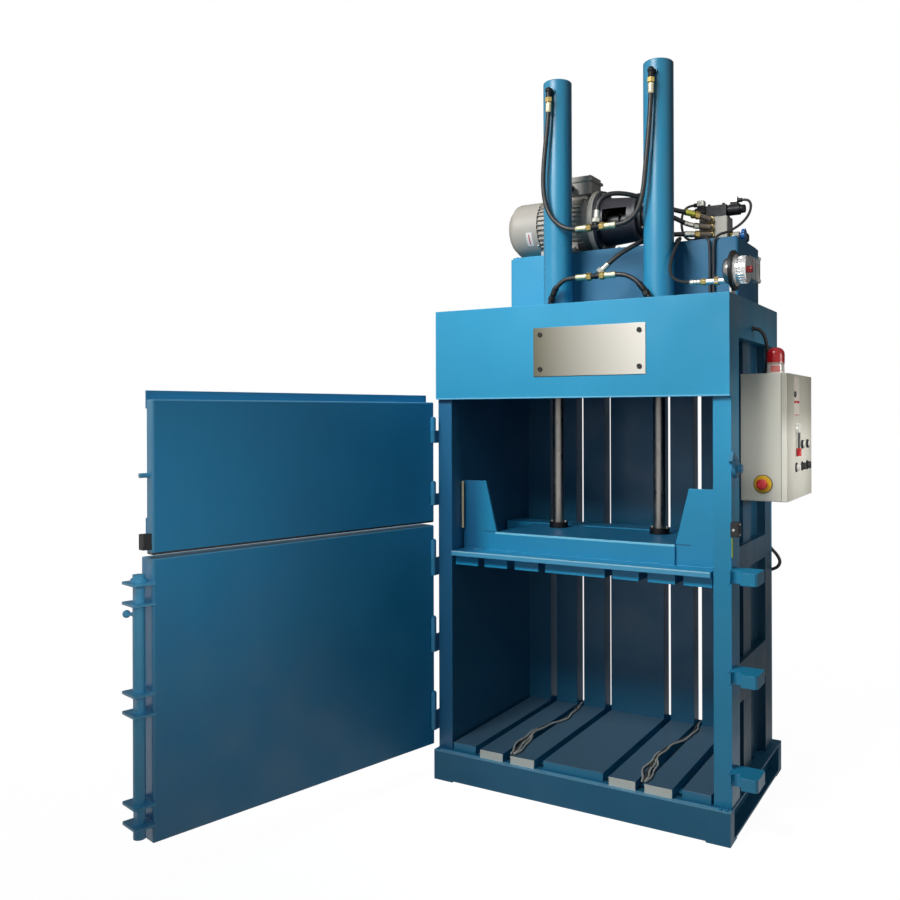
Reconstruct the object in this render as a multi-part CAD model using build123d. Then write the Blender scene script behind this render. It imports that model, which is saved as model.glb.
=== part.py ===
from build123d import *
import math
import os

# Twin-cylinder vertical baler with its two front doors swung open.
# Millimetres. +X is the machine's right, -Y its front, +Z up.
# The origin is the middle of the base, at the floor.

os.makedirs("parts", exist_ok=True)

# Clearances
seat = 0.3            # between pieces that are bolted or rest on each other
running = 0.05        # radial, shaft in bore

# Widths, from the chamber outward
chamber_half_width = 559
post_width = 66
post_half_width = chamber_half_width + post_width
back_post_half_width = chamber_half_width + 41

# Base
base_overhang = 3
base_half_width = post_half_width + base_overhang
base_front = -416
base_back = 420
base_top = 125
foot_height = 5
foot_size = 90
base_flange = 53
base_web = 6
base_flange_thickness = 9
cross_member_width = 60
cross_member_pitch = 208

# Floor, back wall and platen share one pattern of strap slots.
# The planks are set out from the wall inward, and the centre plank takes what is left.
plank_wall_gap = 9
plank_widths = [108, 107, 107]
slot_widths = [32, 36, 32]
side_planks = []
plank_edge = chamber_half_width - plank_wall_gap
for plank_width, slot_width in zip(plank_widths, slot_widths):
    side_planks.insert(0, (plank_edge - plank_width, plank_edge))
    plank_edge -= plank_width + slot_width
centre_plank_half = plank_edge
plank_height = 34
plank_sheet = 6
floor_front = -384
floor_bar_front = -404
floor_tie_height = 6
floor_tie_width = 40
slat_front = 340
slat_depth = 70
slat_sheet = 6
bottom_tie_height = 34
top_tie_height = 150

# Side walls
skin = 6
body_front = -380
body_back = 375
post_depth = 110
back_post_depth = 120
lower_band = (445, 595)
upper_band = (945, 1040)
rib_front = -60
rib_back = 55
rib_depth = 22

# Header
header_front = -400
header_bottom = 1611.5
header_fall = 218.5
header_rise = 155
header_deck = header_bottom + header_fall
header_top = header_deck + header_rise
header_plate = 12
header_lip = 28
deck_sheet = 10
deck_wall = 5
deck_box = 100
cable_hole = (-67, header_deck + 49)
cable_hole_radius = 8
cable_hole_depth = 19

# Cylinders
cylinder_x = 231
cylinder_y = -14
barrel_radius = 62.5
bore_radius = 50
barrel_bottom = header_deck - 15
barrel_rise = 1023
barrel_top = header_top + barrel_rise
gland_height = 145
cap_height = 40
flange_radius = 88
flange_thickness = 22
rod_radius = 25
piston_height = 50
travel_up = 550
travel_down = 370
top_port_drop = 58
top_port_height = barrel_top - top_port_drop
bottom_port_rise = 23
bottom_port_height = header_top + bottom_port_rise
port_radius = 15
port_boss = 6
port_reach = 21
elbow_leg = 30

# Platen
platen_front = -396
platen_back = 320
lip_bottom = 952
lip_thickness = 20
rib_height = 42
platen_plate = 12
face_plate_front = -305
ear_clearance = 7
ear_outer = chamber_half_width - ear_clearance
ear_width = 110
ear_slope = 52
ear_inner_top = ear_outer - ear_width
ear_inner_bottom = ear_inner_top - ear_slope
beam_height = 98
ear_height = 214
beam_top = lip_bottom + beam_height
ear_top = beam_top + ear_height
beam_back = 60
rear_rail = (100, 220)
collar_radius = 41
collar_height = 24

# Doors, in the closed position, turned open about the hinge line
hinge_offset = 13
hinge_x = -post_half_width - hinge_offset
hinge_y = -406
open_angle = 103.9
door_inset = 7
door_free_edge = post_half_width - door_inset
door_hinge_edge = hinge_x - door_inset
door_edge_radius = 5
hinge_notch = 17
door_back_face = -406
lower_door = (base_top + 17, 1076)
lower_door_thickness = 78
door_gap = 11.5
upper_door = (lower_door[1] + door_gap, header_bottom - door_gap)
upper_door_thickness = 41
door_rib_depth = 24
door_rib_height = 90
strip_thickness = 6
strip_rise = 30
strip_inset = 8
strip_drop = 30
knuckle_radius = 14
pin_radius = 8
pin_head_radius = 11
pin_head = 4
hinge_drops = (213, 64)
hinge_middle = (538, 684)
hinge_rises = (63, 221)
lower_hinges = [
    (lower_door[1] - hinge_drops[0], lower_door[1] - hinge_drops[1]),
    hinge_middle,
    (lower_door[0] + hinge_rises[0], lower_door[0] + hinge_rises[1]),
]
upper_hinge_drops = (173, 67)
upper_hinge_rises = (74, 172)
upper_hinges = [
    (upper_door[1] - upper_hinge_drops[0], upper_door[1] - upper_hinge_drops[1]),
    (upper_door[0] + upper_hinge_rises[0], upper_door[0] + upper_hinge_rises[1]),
]
leaf_thickness = 9
leaf_reach = 70

# Lock bar and keepers
bar_offset = 29
bar_x = post_half_width + bar_offset
bar_y = -428
bar_radius = 20
bar_bottom_gap = 24
bar_top_gap = 49
bar_bottom = lower_door[0] + bar_bottom_gap
bar_top = lower_door[1] - bar_top_gap
bar_flat_half = 14.5
lock_middle = 606
lock_drop = 111
lock_rise = 102
lock_heights = [lower_door[1] - lock_drop, lock_middle, lower_door[0] + lock_rise]
lock_plate_gap = 66
lock_plate_thickness = 8
lock_plate_reach = 72
lock_plate_x = (door_free_edge, door_free_edge + lock_plate_reach)
lock_plate_y = (-481, -384)
keeper_height = 45
keeper_reach = 105
keeper_outer = post_half_width + keeper_reach
keeper_front = -440
keeper_back = -325
keeper_bore = 20.8
bar_cap_radius = 26
bar_cap_height = 12
knob_reach = 46
knob_radius = 13
knob_drop = 36

# Latch, switch and strike on the right post
latch_pivot = (-372, 1350)
latch_plate = 12
latch_offset = 9
latch_x = post_half_width + latch_offset
latch_boss_radius = 34
latch_reach = 56
latch_raised = 32
strike_radius = 8
strike_length = 34
switch_rise = 44
switch_height = upper_door[0] + switch_rise
switch_size = (28, 42, 52)
switch_bracket = 50

# Oil tank
tank_inset = 95
tank_half_width = post_half_width - tank_inset
tank_front = 100
tank_back = 455
tank_height = 287
tank_top = header_top + tank_height
tank_sheet = 8
lid_inset = 8
lid_thickness = 8
neck_inset = 60
neck_radius = 22
neck_height = 26
filler_radius = 30
filler_height = 32
sight_drops = (152, 37)

# Motor, bell housing and pump, on one axis along X
drive_y = 262
drive_height = 150
motor_radius = 118
fin_reach = 11
fin_count = 36
motor_inset = 106
motor_length = 274
motor_left = motor_inset - tank_half_width
motor_right = motor_left + motor_length
motor_flange_radius = 146
motor_flange = 24
motor_leg = (66, 84)
motor_foot = (66, 132)
motor_foot_height = 22
cover_length = 148
cover_left = motor_left - cover_length
cover_gap = 10
cover_radius = motor_radius + cover_gap
fan_radius = 96
shaft_radius = 19
shaft_reach = 110
shaft_end = motor_right + shaft_reach
coupling_radius = 40
coupling_gap = 14
pump_hub_length = 50
bell_length = 212
bell_right = motor_right + bell_length
bell_radius = 104
bell_wall = 10
window_half = 42
window_offset = 58
window_length = 110
window_x = (motor_right + window_offset, motor_right + window_offset + window_length)
pump_length = 128
pump_right = bell_right + pump_length
pump_radius = 58
pump_shaft_radius = 14
pump_shaft_depth = 70
pump_outlet_offset = 78
pump_outlet_x = bell_right + pump_outlet_offset
pump_outlet_reach = 20
terminal_box_inset = (78, 14)
terminal_box_x = (motor_left + terminal_box_inset[0], motor_right - terminal_box_inset[1])
terminal_box_half_depth = 62
terminal_box_height = 84

# Valve group on the lid
manifold_width = 122
manifold_inset = 75
manifold_right = tank_half_width - manifold_inset
manifold_x = (manifold_right - manifold_width, manifold_right)
manifold_y = (215, 305)
manifold_height = 112
valve_height = 60
valve_half_length = 108
coil_radius = 24
wheel_radius = 25
wheel_thickness = 14
port_elbow_offset = 52
port_elbow_x = manifold_x[0] + port_elbow_offset
port_elbow_y = 190
port_elbow_leg = 44

# Pressure gauge on the deck
gauge_inset = 29
gauge_x = post_half_width - gauge_inset
gauge_y = -236
gauge_z = header_top + 99
gauge_ring_radius = 73
gauge_drum_radius = 50
gauge_drum_length = 50
gauge_stem = 100

# Control cabinet
cabinet_depth = 150.7
cabinet_x = (back_post_half_width + seat, back_post_half_width + seat + cabinet_depth)
cabinet_y = (-145, 340)
cabinet_z = (1215, 1700)
cabinet_wall = 6
cabinet_door_thickness = 20
button_height = cabinet_z[0] + 123
button_offsets = (165, 275, 380)
button_places = [cabinet_y[0] + along for along in button_offsets]
lamp_height = button_height + 87
lamp_places = button_places[1:]
isolator_offset = 168
isolator_rise = 65
isolator_place = (cabinet_y[0] + isolator_offset, lamp_height + isolator_rise)
isolator_length = 92
stop_place = (cabinet_x[0] + 83.7, cabinet_z[0] + 66)
beacon_place = (cabinet_x[1] - 31, cabinet_y[0] + 50)
case_hinges = [cabinet_z[0] + 60, (cabinet_z[0] + cabinet_z[1]) / 2, cabinet_z[1] - 60]
case_hinge_half = 22
case_knuckle_radius = 4.5
case_pin_radius = 2.5
beacon_radius = 33
beacon_base_height = 42
beacon_lens_height = 57

# Hoses and cables
hose = 20
branch_hose = 20
gauge_hose = 14
wire = 11
cable = 14
rope = 9


# Small helpers

def block(x, y, z):
    """A box between two corners, each argument a (low, high) pair."""
    size = [high - low for low, high in (x, y, z)]
    middle = [(high + low) / 2 for low, high in (x, y, z)]
    return Pos(*middle) * Box(*size)


def bar(start, end, radius):
    """A round bar between two points."""
    start, end = Vector(*start), Vector(*end)
    run = end - start
    plane = Plane(origin=start, z_dir=run)
    return extrude(plane * Circle(radius), amount=run.length)


def mirrored(shape):
    return mirror(shape, about=Plane.YZ)


def pair(shape):
    return shape + mirrored(shape)


def opened(shape):
    """Turn a piece of a closed door about the hinge line to where it stands open."""
    turn = Pos(hinge_x, hinge_y, 0) * Rot(0, 0, -open_angle) * Pos(-hinge_x, -hinge_y, 0)
    return turn * shape


def save(name, shape):
    export_step(shape, f"parts/{name}.step")


def joined(shapes):
    """Fuse a list of shapes."""
    whole = shapes[0]
    for shape in shapes[1:]:
        whole = whole + shape
    return whole


def plank_spans():
    """Low and high X of each of the seven planks, from left to right."""
    left = [(-high, -low) for low, high in reversed(side_planks)]
    return left + [(-centre_plank_half, centre_plank_half)] + side_planks


# Base frame

def base_frame():
    inner = base_half_width - base_flange
    height = (foot_height, base_top)
    web = (foot_height + base_flange_thickness, base_top - base_flange_thickness)
    side = block((inner, base_half_width), (base_front, base_back), height)
    bay_y = (base_front + base_flange, base_back - base_flange)
    side -= block((inner + base_web, base_half_width + 1), bay_y, web)
    front = block((-inner, inner), (base_front, base_front + base_flange), height)
    front -= block((-inner, inner), (base_front + base_web, base_front + base_flange + 1), web)
    back = block((-inner, inner), (base_back - base_flange, base_back), height)
    back -= block((-inner, inner), (base_back - base_flange - 1, base_back - base_web), web)
    pieces = [side, mirrored(side), front, back]
    for step in (-1, 0, 1):
        middle = step * cross_member_pitch
        span = (middle - cross_member_width / 2, middle + cross_member_width / 2)
        pieces.append(block((-inner, inner), span, height))
    foot_x = (base_half_width - foot_size, base_half_width)
    for foot_y in ((base_front, base_front + foot_size), (base_back - foot_size, base_back)):
        pieces.append(pair(block(foot_x, foot_y, (0, foot_height + base_flange_thickness))))
    middle_foot = (-foot_size / 2, foot_size / 2)
    pieces.append(block(middle_foot, (-cross_member_width / 2, cross_member_width / 2), (0, foot_height + 1)))
    return joined(pieces)


def floor_deck():
    """Seven folded planks with strap slots between, tied together below floor level."""
    pieces = []
    bottom = base_top + seat
    top = base_top + plank_height
    for index, (low, high) in enumerate(plank_spans()):
        front = floor_bar_front if index in (1, 2, 4, 5) else floor_front
        plank = block((low, high), (front, slat_front - seat), (bottom, top))
        inner = (low + plank_sheet, high - plank_sheet)
        hollow_back = slat_front - plank_sheet - seat
        plank -= block(inner, (front + plank_sheet, hollow_back), (bottom - 1, top - plank_sheet))
        pieces.append(plank)
    edge = side_planks[-1][1]
    for start in (floor_front + floor_tie_width, slat_front - 2 * floor_tie_width):
        span = (start, start + floor_tie_width)
        pieces.append(block((-edge, edge), span, (bottom, bottom + floor_tie_height)))
    return joined(pieces)


# Body

def side_wall():
    """Right side: skin, front and back posts, two bands and a vertical rib."""
    inner = chamber_half_width
    outer = inner + skin
    bottom = base_top + seat
    wall = block((inner, outer), (body_front, body_back), (bottom, header_deck - seat))
    post_back = body_front + post_depth
    post_front_top = header_bottom - seat
    wall += block((outer, post_half_width), (body_front, post_back), (bottom, post_front_top))
    wall -= block((inner - 1, outer + 1), (body_front - 1, post_back + 1), (post_front_top, header_deck))
    back_start = body_back - back_post_depth
    wall += block((outer, back_post_half_width), (back_start, body_back), (bottom, header_deck - seat))
    for low, high in (lower_band, upper_band):
        wall += block((outer, back_post_half_width), (post_back, back_start), (low, high))
    wall += block((outer, outer + rib_depth), (rib_front, rib_back), (bottom, header_deck - seat))
    return wall


def frame_knuckles():
    """Lower half of each hinge, with its leaf welded to the left post."""
    pieces = []
    for low, high in lower_hinges + upper_hinges:
        half = (low + high) / 2
        knuckle = bar((hinge_x, hinge_y, low), (hinge_x, hinge_y, half - seat / 2), knuckle_radius)
        leaf_x = (-post_half_width - leaf_thickness, -post_half_width)
        leaf = block(leaf_x, (hinge_y, hinge_y + leaf_reach), (low, half - seat / 2))
        hole = bar((hinge_x, hinge_y, low - 1), (hinge_x, hinge_y, half + 1), pin_radius + running)
        pieces.append(knuckle + leaf - hole)
    return pieces


def back_wall():
    """Seven folded slats, open to the rear, tied at the top and at floor level."""
    back = slat_front + slat_depth
    bottom = base_top + seat
    top = header_deck - seat
    spans = plank_spans()
    edge = chamber_half_width - seat
    spans[0] = (-edge, spans[0][1])
    spans[-1] = (spans[-1][0], edge)
    pieces = []
    for low, high in spans:
        slat = block((low, high), (slat_front, back), (bottom, top))
        inner = (low + slat_sheet, high - slat_sheet)
        slat -= block(inner, (slat_front + slat_sheet, back + 1), (bottom + slat_sheet, top - slat_sheet))
        pieces.append(slat)
    tie = (back - slat_sheet, back)
    pieces.append(block((-edge, edge), tie, (bottom, bottom + bottom_tie_height)))
    pieces.append(block((-edge, edge), tie, (top - top_tie_height, top)))
    return joined(pieces)


def header_frame():
    """Front fascia, side cheeks and the closed deck that carries cylinders and tank."""
    width = (-post_half_width, post_half_width)
    fascia = block(width, (header_front, header_front + header_plate), (header_bottom, header_top))
    lip_y = (header_front, header_front + header_plate + header_lip)
    lip_z = (header_bottom, header_bottom + header_plate)
    fascia += block((-chamber_half_width, chamber_half_width), lip_y, lip_z)
    cheek_y = (header_front, body_front + post_depth)
    cheek = block((chamber_half_width + skin, post_half_width), cheek_y, (header_bottom, header_deck))
    deck = block(width, (header_front, body_back), (header_deck, header_top))
    header = fascia + pair(cheek) + deck
    pocket_x = (-chamber_half_width + deck_wall, chamber_half_width - deck_wall)
    pocket_z = (header_deck - 1, header_top - deck_sheet)
    front_pocket = (header_front + header_plate, cylinder_y - deck_box)
    rear_pocket = (cylinder_y + deck_box, slat_front - deck_wall)
    for pocket_y in (front_pocket, rear_pocket):
        header -= block(pocket_x, pocket_y, pocket_z)
    for side in (-1, 1):
        low = (side * cylinder_x, cylinder_y, header_deck - 1)
        high = (side * cylinder_x, cylinder_y, header_top + 1)
        header -= bar(low, high, barrel_radius + seat)
    hole_y, hole_z = cable_hole
    inside = (post_half_width - cable_hole_depth, hole_y, hole_z)
    header -= bar(inside, (post_half_width + 1, hole_y, hole_z), cable_hole_radius)
    return header


# Cylinders and platen

def barrel():
    """Turned section: gland end, bore, closed cap and mounting flange."""
    gland_top = barrel_bottom + gland_height
    cap_bottom = barrel_top - cap_height
    rod_hole = rod_radius + running
    collar_high = header_deck - seat
    collar_low = collar_high - flange_thickness
    outline = [
        (rod_hole, barrel_bottom), (barrel_radius, barrel_bottom),
        (barrel_radius, collar_low), (flange_radius, collar_low),
        (flange_radius, collar_high), (barrel_radius, collar_high),
        (barrel_radius, barrel_top), (0, barrel_top),
        (0, cap_bottom), (bore_radius, cap_bottom),
        (bore_radius, gland_top), (rod_hole, gland_top),
    ]
    section = make_face(Plane.XZ * Polyline(*outline, close=True))
    body = revolve(section, Axis.Z)
    crown = body.faces().sort_by(Axis.Z)[-1].edges()
    body = chamfer(crown, 4)
    for height in (top_port_height, bottom_port_height):
        start = (0, -barrel_radius + 4, height)
        body += bar(start, (0, -barrel_radius - port_boss, height), port_radius + 4)
    return Pos(cylinder_x, cylinder_y, 0) * body


leftward, rightward = (-1, 0, 0), (1, 0, 0)


def leg_end(corner, direction, length):
    """The point at a length from a corner along a direction."""
    return tuple(Vector(*corner) + Vector(*direction).normalized() * length)


port_face = cylinder_y - barrel_radius - port_boss - seat
elbow_y = port_face - port_reach
port_legs = {
    "top_left": ((-cylinder_x, elbow_y, top_port_height), (0, 0, -1)),
    "top_right": ((cylinder_x, elbow_y, top_port_height), (0, 0, -1)),
    "bottom_left": ((-cylinder_x, elbow_y, bottom_port_height), (0.3, 0, 0.954)),
    "bottom_right": ((cylinder_x, elbow_y, bottom_port_height), (-0.547, 0, 0.837)),
}


def port_elbows():
    """Steel elbows on the barrel ports, each swivelled the way its hose leaves."""
    pieces = []
    for corner, direction in port_legs.values():
        elbow = bar((corner[0], port_face, corner[2]), corner, port_radius)
        elbow += Pos(*corner) * Sphere(port_radius)
        elbow += bar(corner, leg_end(corner, direction, elbow_leg), port_radius - 3)
        pieces.append(elbow)
    return Compound(children=pieces)


def piston_rod():
    """Rod and piston, standing on the platen's beam."""
    gland_top = barrel_bottom + gland_height
    piston_bottom = gland_top + travel_down + 5
    rod = bar((0, 0, beam_top + seat), (0, 0, piston_bottom), rod_radius)
    piston = bar((0, 0, piston_bottom), (0, 0, piston_bottom + piston_height), bore_radius - running)
    return Pos(cylinder_x, cylinder_y, 0) * (rod + piston)


def platen():
    """Pressing plate with its lip, face plate with guide ears, closed beam, rear rail and ribs."""
    lip_top = lip_bottom + lip_thickness
    plate = block((-ear_outer, ear_outer), (platen_front, platen_back), (lip_bottom, lip_top))
    ear_outline = [
        (-ear_outer, lip_top - 1), (-ear_outer, ear_top), (-ear_inner_top, ear_top),
        (-ear_inner_bottom, beam_top), (ear_inner_bottom, beam_top), (ear_inner_top, ear_top),
        (ear_outer, ear_top), (ear_outer, lip_top - 1),
    ]
    face = make_face(Plane.XZ * Polyline(*ear_outline, close=True))
    face_plate = Pos(0, face_plate_front + platen_plate, 0) * extrude(face, amount=platen_plate)
    beam_z = (lip_top - 1, beam_top)
    beam = block((-ear_inner_bottom, ear_inner_bottom), (face_plate_front + 1, beam_back), beam_z)
    rail = block((-ear_outer, ear_outer), rear_rail, beam_z)
    body = plate + face_plate + beam + rail
    for low, high in plank_spans():
        rib_y = (platen_front + 34, platen_back)
        body += block((low, high), rib_y, (lip_bottom - rib_height, lip_bottom + 1))
    return body


def rod_collars():
    """Split collars that hold the rods to the beam."""
    pieces = []
    for side in (-1, 1):
        x = side * cylinder_x
        low = beam_top + seat
        ring = bar((x, cylinder_y, low), (x, cylinder_y, low + collar_height), collar_radius)
        ring -= bar((x, cylinder_y, low - 1), (x, cylinder_y, low + collar_height + 1), rod_radius + seat)
        pieces.append(ring)
    return Compound(children=pieces)


# Doors

def door_panel(heights, thickness, hinges):
    """Closed sheet-metal panel with folded edges, notched round its hinges."""
    back = door_back_face
    panel = block((door_hinge_edge, door_free_edge), (back - thickness, back), heights)
    panel = fillet(panel.edges(), door_edge_radius)
    notch_x = (door_hinge_edge - 1, hinge_x + hinge_notch)
    notch_y = (back - knuckle_radius - 2 * seat, back + 1)
    for low, high in hinges:
        panel -= block(notch_x, notch_y, (low - 2 * seat, high + pin_head + 2 * seat))
    return panel


def door_knuckles(hinges):
    """Upper half of each hinge, welded to the door's hinge edge."""
    pieces = []
    for low, high in hinges:
        half = (low + high) / 2
        span = (half + seat / 2, high)
        knuckle = bar((hinge_x, hinge_y, span[0]), (hinge_x, hinge_y, span[1]), knuckle_radius)
        leaf_y = (hinge_y - knuckle_radius, hinge_y - knuckle_radius + leaf_thickness)
        leaf = block((hinge_x, hinge_x + hinge_notch + 1), leaf_y, span)
        hole = bar((hinge_x, hinge_y, half - 1), (hinge_x, hinge_y, high + 1), pin_radius + running)
        pieces.append(knuckle + leaf - hole)
    return pieces


def hinge_pins():
    pieces = []
    for low, high in lower_hinges + upper_hinges:
        pin = bar((hinge_x, hinge_y, low), (hinge_x, hinge_y, high + seat + pin_head), pin_radius)
        head_low = high + seat
        pin += bar((hinge_x, hinge_y, head_low), (hinge_x, hinge_y, head_low + pin_head), pin_head_radius)
        pieces.append(pin)
    return Compound(children=pieces)


def upper_door_panel():
    panel = door_panel(upper_door, upper_door_thickness, upper_hinges)
    outer = door_back_face - upper_door_thickness
    strip_x = (door_hinge_edge + strip_inset, door_free_edge)
    strip_z = (upper_door[1] - strip_drop, upper_door[1] + strip_rise)
    panel += block(strip_x, (outer - strip_thickness, outer + 1), strip_z)
    low = upper_door[0] + strip_drop
    panel += block(strip_x, (outer - strip_thickness, outer + 1), (low, low + door_rib_height))
    strike_y = door_back_face - upper_door_thickness / 2
    strike_z = latch_pivot[1]
    start = (door_free_edge - 1, strike_y, strike_z)
    panel += bar(start, (door_free_edge + strike_length, strike_y, strike_z), strike_radius)
    return opened(joined([panel] + door_knuckles(upper_hinges)))


def lower_door_panel():
    """Panel with three outer ribs and three pairs of lugs that carry the lock bar."""
    panel = door_panel(lower_door, lower_door_thickness, lower_hinges)
    outer = door_back_face - lower_door_thickness
    for height in lock_heights:
        rib_z = (height - door_rib_height / 2, height + door_rib_height / 2)
        rib_x = (door_hinge_edge + 64, door_free_edge - 40)
        panel += block(rib_x, (outer - door_rib_depth, outer + 1), rib_z)
    for height in lock_heights:
        for side in (-1, 1):
            middle = height + side * lock_plate_gap / 2
            lug_z = (middle - lock_plate_thickness / 2, middle + lock_plate_thickness / 2)
            lug = block((lock_plate_x[0] - 1, lock_plate_x[1]), lock_plate_y, lug_z)
            lug = fillet(lug.edges().filter_by(Axis.Z).sort_by(Axis.X)[-2:], 8)
            panel += lug
    hole_low = (bar_x, bar_y, bar_bottom - 1)
    hole_high = (bar_x, bar_y, bar_top + 1)
    panel -= bar(hole_low, hole_high, bar_radius + running)
    return opened(joined([panel] + door_knuckles(lower_hinges)))


def lock_bar():
    """Round bar, milled flat where it enters the keepers, with a cap and a ball lever."""
    shaft = bar((bar_x, bar_y, bar_bottom), (bar_x, bar_y, bar_top), bar_radius)
    for height in lock_heights:
        flat_half = lock_plate_gap / 2 - lock_plate_thickness
        flat_z = (height - flat_half, height + flat_half)
        for side in (-1, 1):
            near = bar_x + side * bar_flat_half
            far = bar_x + side * (bar_radius + 1)
            flat_x = (min(near, far), max(near, far))
            shaft -= block(flat_x, (bar_y - bar_radius - 1, bar_y + bar_radius + 1), flat_z)
    cap_low = lock_heights[0] + lock_plate_gap / 2 + lock_plate_thickness / 2 + seat
    shaft += bar((bar_x, bar_y, cap_low), (bar_x, bar_y, cap_low + bar_cap_height), bar_cap_radius)
    lever_z = lock_heights[0] - lock_plate_gap / 2 - knob_drop
    tip = (bar_x + knob_reach * 0.5, bar_y - knob_reach * 0.87, lever_z)
    shaft += bar((bar_x, bar_y, lever_z), tip, 6)
    shaft += Pos(*tip) * Sphere(knob_radius)
    return opened(shaft)


def keeper(height):
    """Open-mouthed block, bolted to the right post, that takes the lock bar."""
    span = (height - keeper_height / 2, height + keeper_height / 2)
    body = block((post_half_width + seat, keeper_outer), (keeper_front, keeper_back), span)
    body = chamfer(body.edges().filter_by(Axis.Z).sort_by(Axis.X)[-2:], 8)
    bore_low = (bar_x, bar_y, span[0] - 1)
    body -= bar(bore_low, (bar_x, bar_y, span[1] + 1), keeper_bore)
    mouth = (bar_x - bar_flat_half - 1.2, bar_x + bar_flat_half + 1.2)
    body -= block(mouth, (keeper_front - 1, bar_y), (span[0] - 1, span[1] + 1))
    step = keeper_front + 12
    body -= block((post_half_width, mouth[0]), (keeper_front - 1, step), (span[0] - 1, span[1] + 1))
    return body


def door_switch_actuator():
    """Coded actuator on the free lower corner of the upper door."""
    width, depth, height = switch_size
    outer = door_free_edge + seat
    y_high = door_back_face - 4
    span = (switch_height - height / 2, switch_height + height / 2)
    body = block((outer, outer + width), (y_high - 34, y_high), span)
    return opened(fillet(body.edges().filter_by(Axis.X), 3))


# Latch and switch on the right post

def upper_latch():
    """Gravity hook, shown lifted clear of the strike's path."""
    pivot_y, pivot_z = latch_pivot
    strike_y = door_back_face - upper_door_thickness / 2
    reach = pivot_y - strike_y
    gap = strike_radius + 1
    tip = reach + gap + 14
    outline = [
        (0, latch_boss_radius), (-tip, latch_boss_radius - 6), (-tip - 4, -16),
        (-reach - gap, -16), (-reach - gap, gap), (-reach + gap, gap),
        (-reach + gap, -8), (0, -latch_boss_radius),
    ]
    profile = make_face(Plane.YZ * Polyline(*outline, close=True))
    hook = extrude(profile, amount=latch_plate)
    hook += extrude(Plane.YZ * Circle(latch_boss_radius), amount=latch_plate)
    hook -= extrude(Plane.YZ * Circle(pin_radius + running), amount=latch_plate + 1)
    return Pos(latch_x, pivot_y, pivot_z) * Rot(-latch_raised, 0, 0) * hook


def latch_pin():
    """Shouldered pivot welded to the post."""
    pivot_y, pivot_z = latch_pivot
    start = post_half_width - 1
    end = latch_x + latch_plate + seat
    pin = bar((start, pivot_y, pivot_z), (end + 6, pivot_y, pivot_z), pin_radius)
    pin += bar((start, pivot_y, pivot_z), (latch_x - seat, pivot_y, pivot_z), pin_radius + 5)
    pin += bar((end, pivot_y, pivot_z), (end + 6, pivot_y, pivot_z), pin_radius + 4)
    return pin


def door_switch():
    width, depth, height = switch_size
    low = post_half_width + seat
    span = (switch_height - height / 2, switch_height + height / 2)
    body = block((low, low + width), (header_front + 4, header_front + 4 + depth), span)
    bracket_y = (header_front + 4 + depth - 1, header_front + depth + switch_bracket)
    bracket = block((low, low + 6), bracket_y, (span[0] + 8, span[1] - 8))
    return fillet(body.edges().filter_by(Axis.X), 3) + bracket


# Oil tank and its lid

def oil_tank():
    """Open-topped welded tank."""
    bottom = header_top + seat
    tank = block((-tank_half_width, tank_half_width), (tank_front, tank_back), (bottom, tank_top))
    tank = fillet(tank.edges().filter_by(Axis.Z), 12)
    inner_x = tank_half_width - tank_sheet
    inner_y = (tank_front + tank_sheet, tank_back - tank_sheet)
    tank -= block((-inner_x, inner_x), inner_y, (bottom + tank_sheet, tank_top + 1))
    return tank


def tank_lid():
    """Lid plate with the motor's foot rails and the filler neck."""
    low = tank_top + seat
    x = tank_half_width - lid_inset
    lid = block((-x, x), (tank_front + lid_inset, tank_back - lid_inset), (low, low + lid_thickness))
    lid = fillet(lid.edges().filter_by(Axis.Z), 8)
    neck = (tank_half_width - neck_inset, tank_back - neck_inset)
    top = low + lid_thickness
    shoulder = top + neck_height
    lid += bar((*neck, top - 1), (*neck, shoulder), neck_radius)
    lid += bar((*neck, shoulder), (*neck, shoulder + filler_height), filler_radius)
    return lid


lid_top = tank_top + seat + lid_thickness
drive_z = lid_top + drive_height


def level_gauge():
    """Sight gauge on the right end of the tank."""
    low_z, high_z = tank_top - sight_drops[0], tank_top - sight_drops[1]
    x = tank_half_width + seat
    y = (tank_back - 62, tank_back - 34)
    frame = block((x, x + 14), y, (low_z, high_z))
    frame -= block((x + 6, x + 15), (y[0] + 8, y[1] - 8), (low_z + 20, high_z - 20))
    return frame


# Motor and pump set, along X at drive_y, drive_z

def on_drive_axis(shape):
    return Pos(0, drive_y, drive_z) * shape


def turned_x(outline):
    """Revolve (x, radius) points about the drive axis."""
    face = make_face(Plane.XY * Polyline(*outline, close=True))
    return revolve(face, Axis.X)


def motor_body():
    """Finned frame with feet, end shield and flange; the rotor's bore runs through."""
    frame = turned_x([
        (motor_left, 0), (motor_left, motor_radius - 12), (motor_left + 12, motor_radius),
        (motor_right - 40, motor_radius), (motor_right, motor_radius - 14),
        (motor_right, motor_flange_radius), (motor_right + motor_flange, motor_flange_radius),
        (motor_right + motor_flange, 0),
    ])
    fin_x = (motor_left + 14, motor_right - 42)
    for index in range(fin_count):
        angle = 360 / fin_count * index
        if 60 < angle < 120 or 250 < angle < 290:
            continue
        fin = block(fin_x, (motor_radius - 3, motor_radius + fin_reach), (-2, 2))
        frame += Rot(angle, 0, 0) * fin
    foot_top = -drive_height + motor_foot_height
    foot = block((motor_left + 40, motor_right - 60), motor_foot, (-drive_height + seat, foot_top))
    foot += block((motor_left + 50, motor_right - 70), motor_leg, (foot_top - 1, -motor_radius / 2))
    frame += foot + mirror(foot, about=Plane.XZ)
    pad_x = (terminal_box_x[0] + 20, terminal_box_x[1] - 20)
    frame += block(pad_x, (-48, 48), (motor_radius - 10, motor_radius + 12))
    frame -= bar((motor_left - 1, 0, 0), (motor_right + motor_flange + 1, 0, 0), shaft_radius + running)
    return on_drive_axis(frame)


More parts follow.
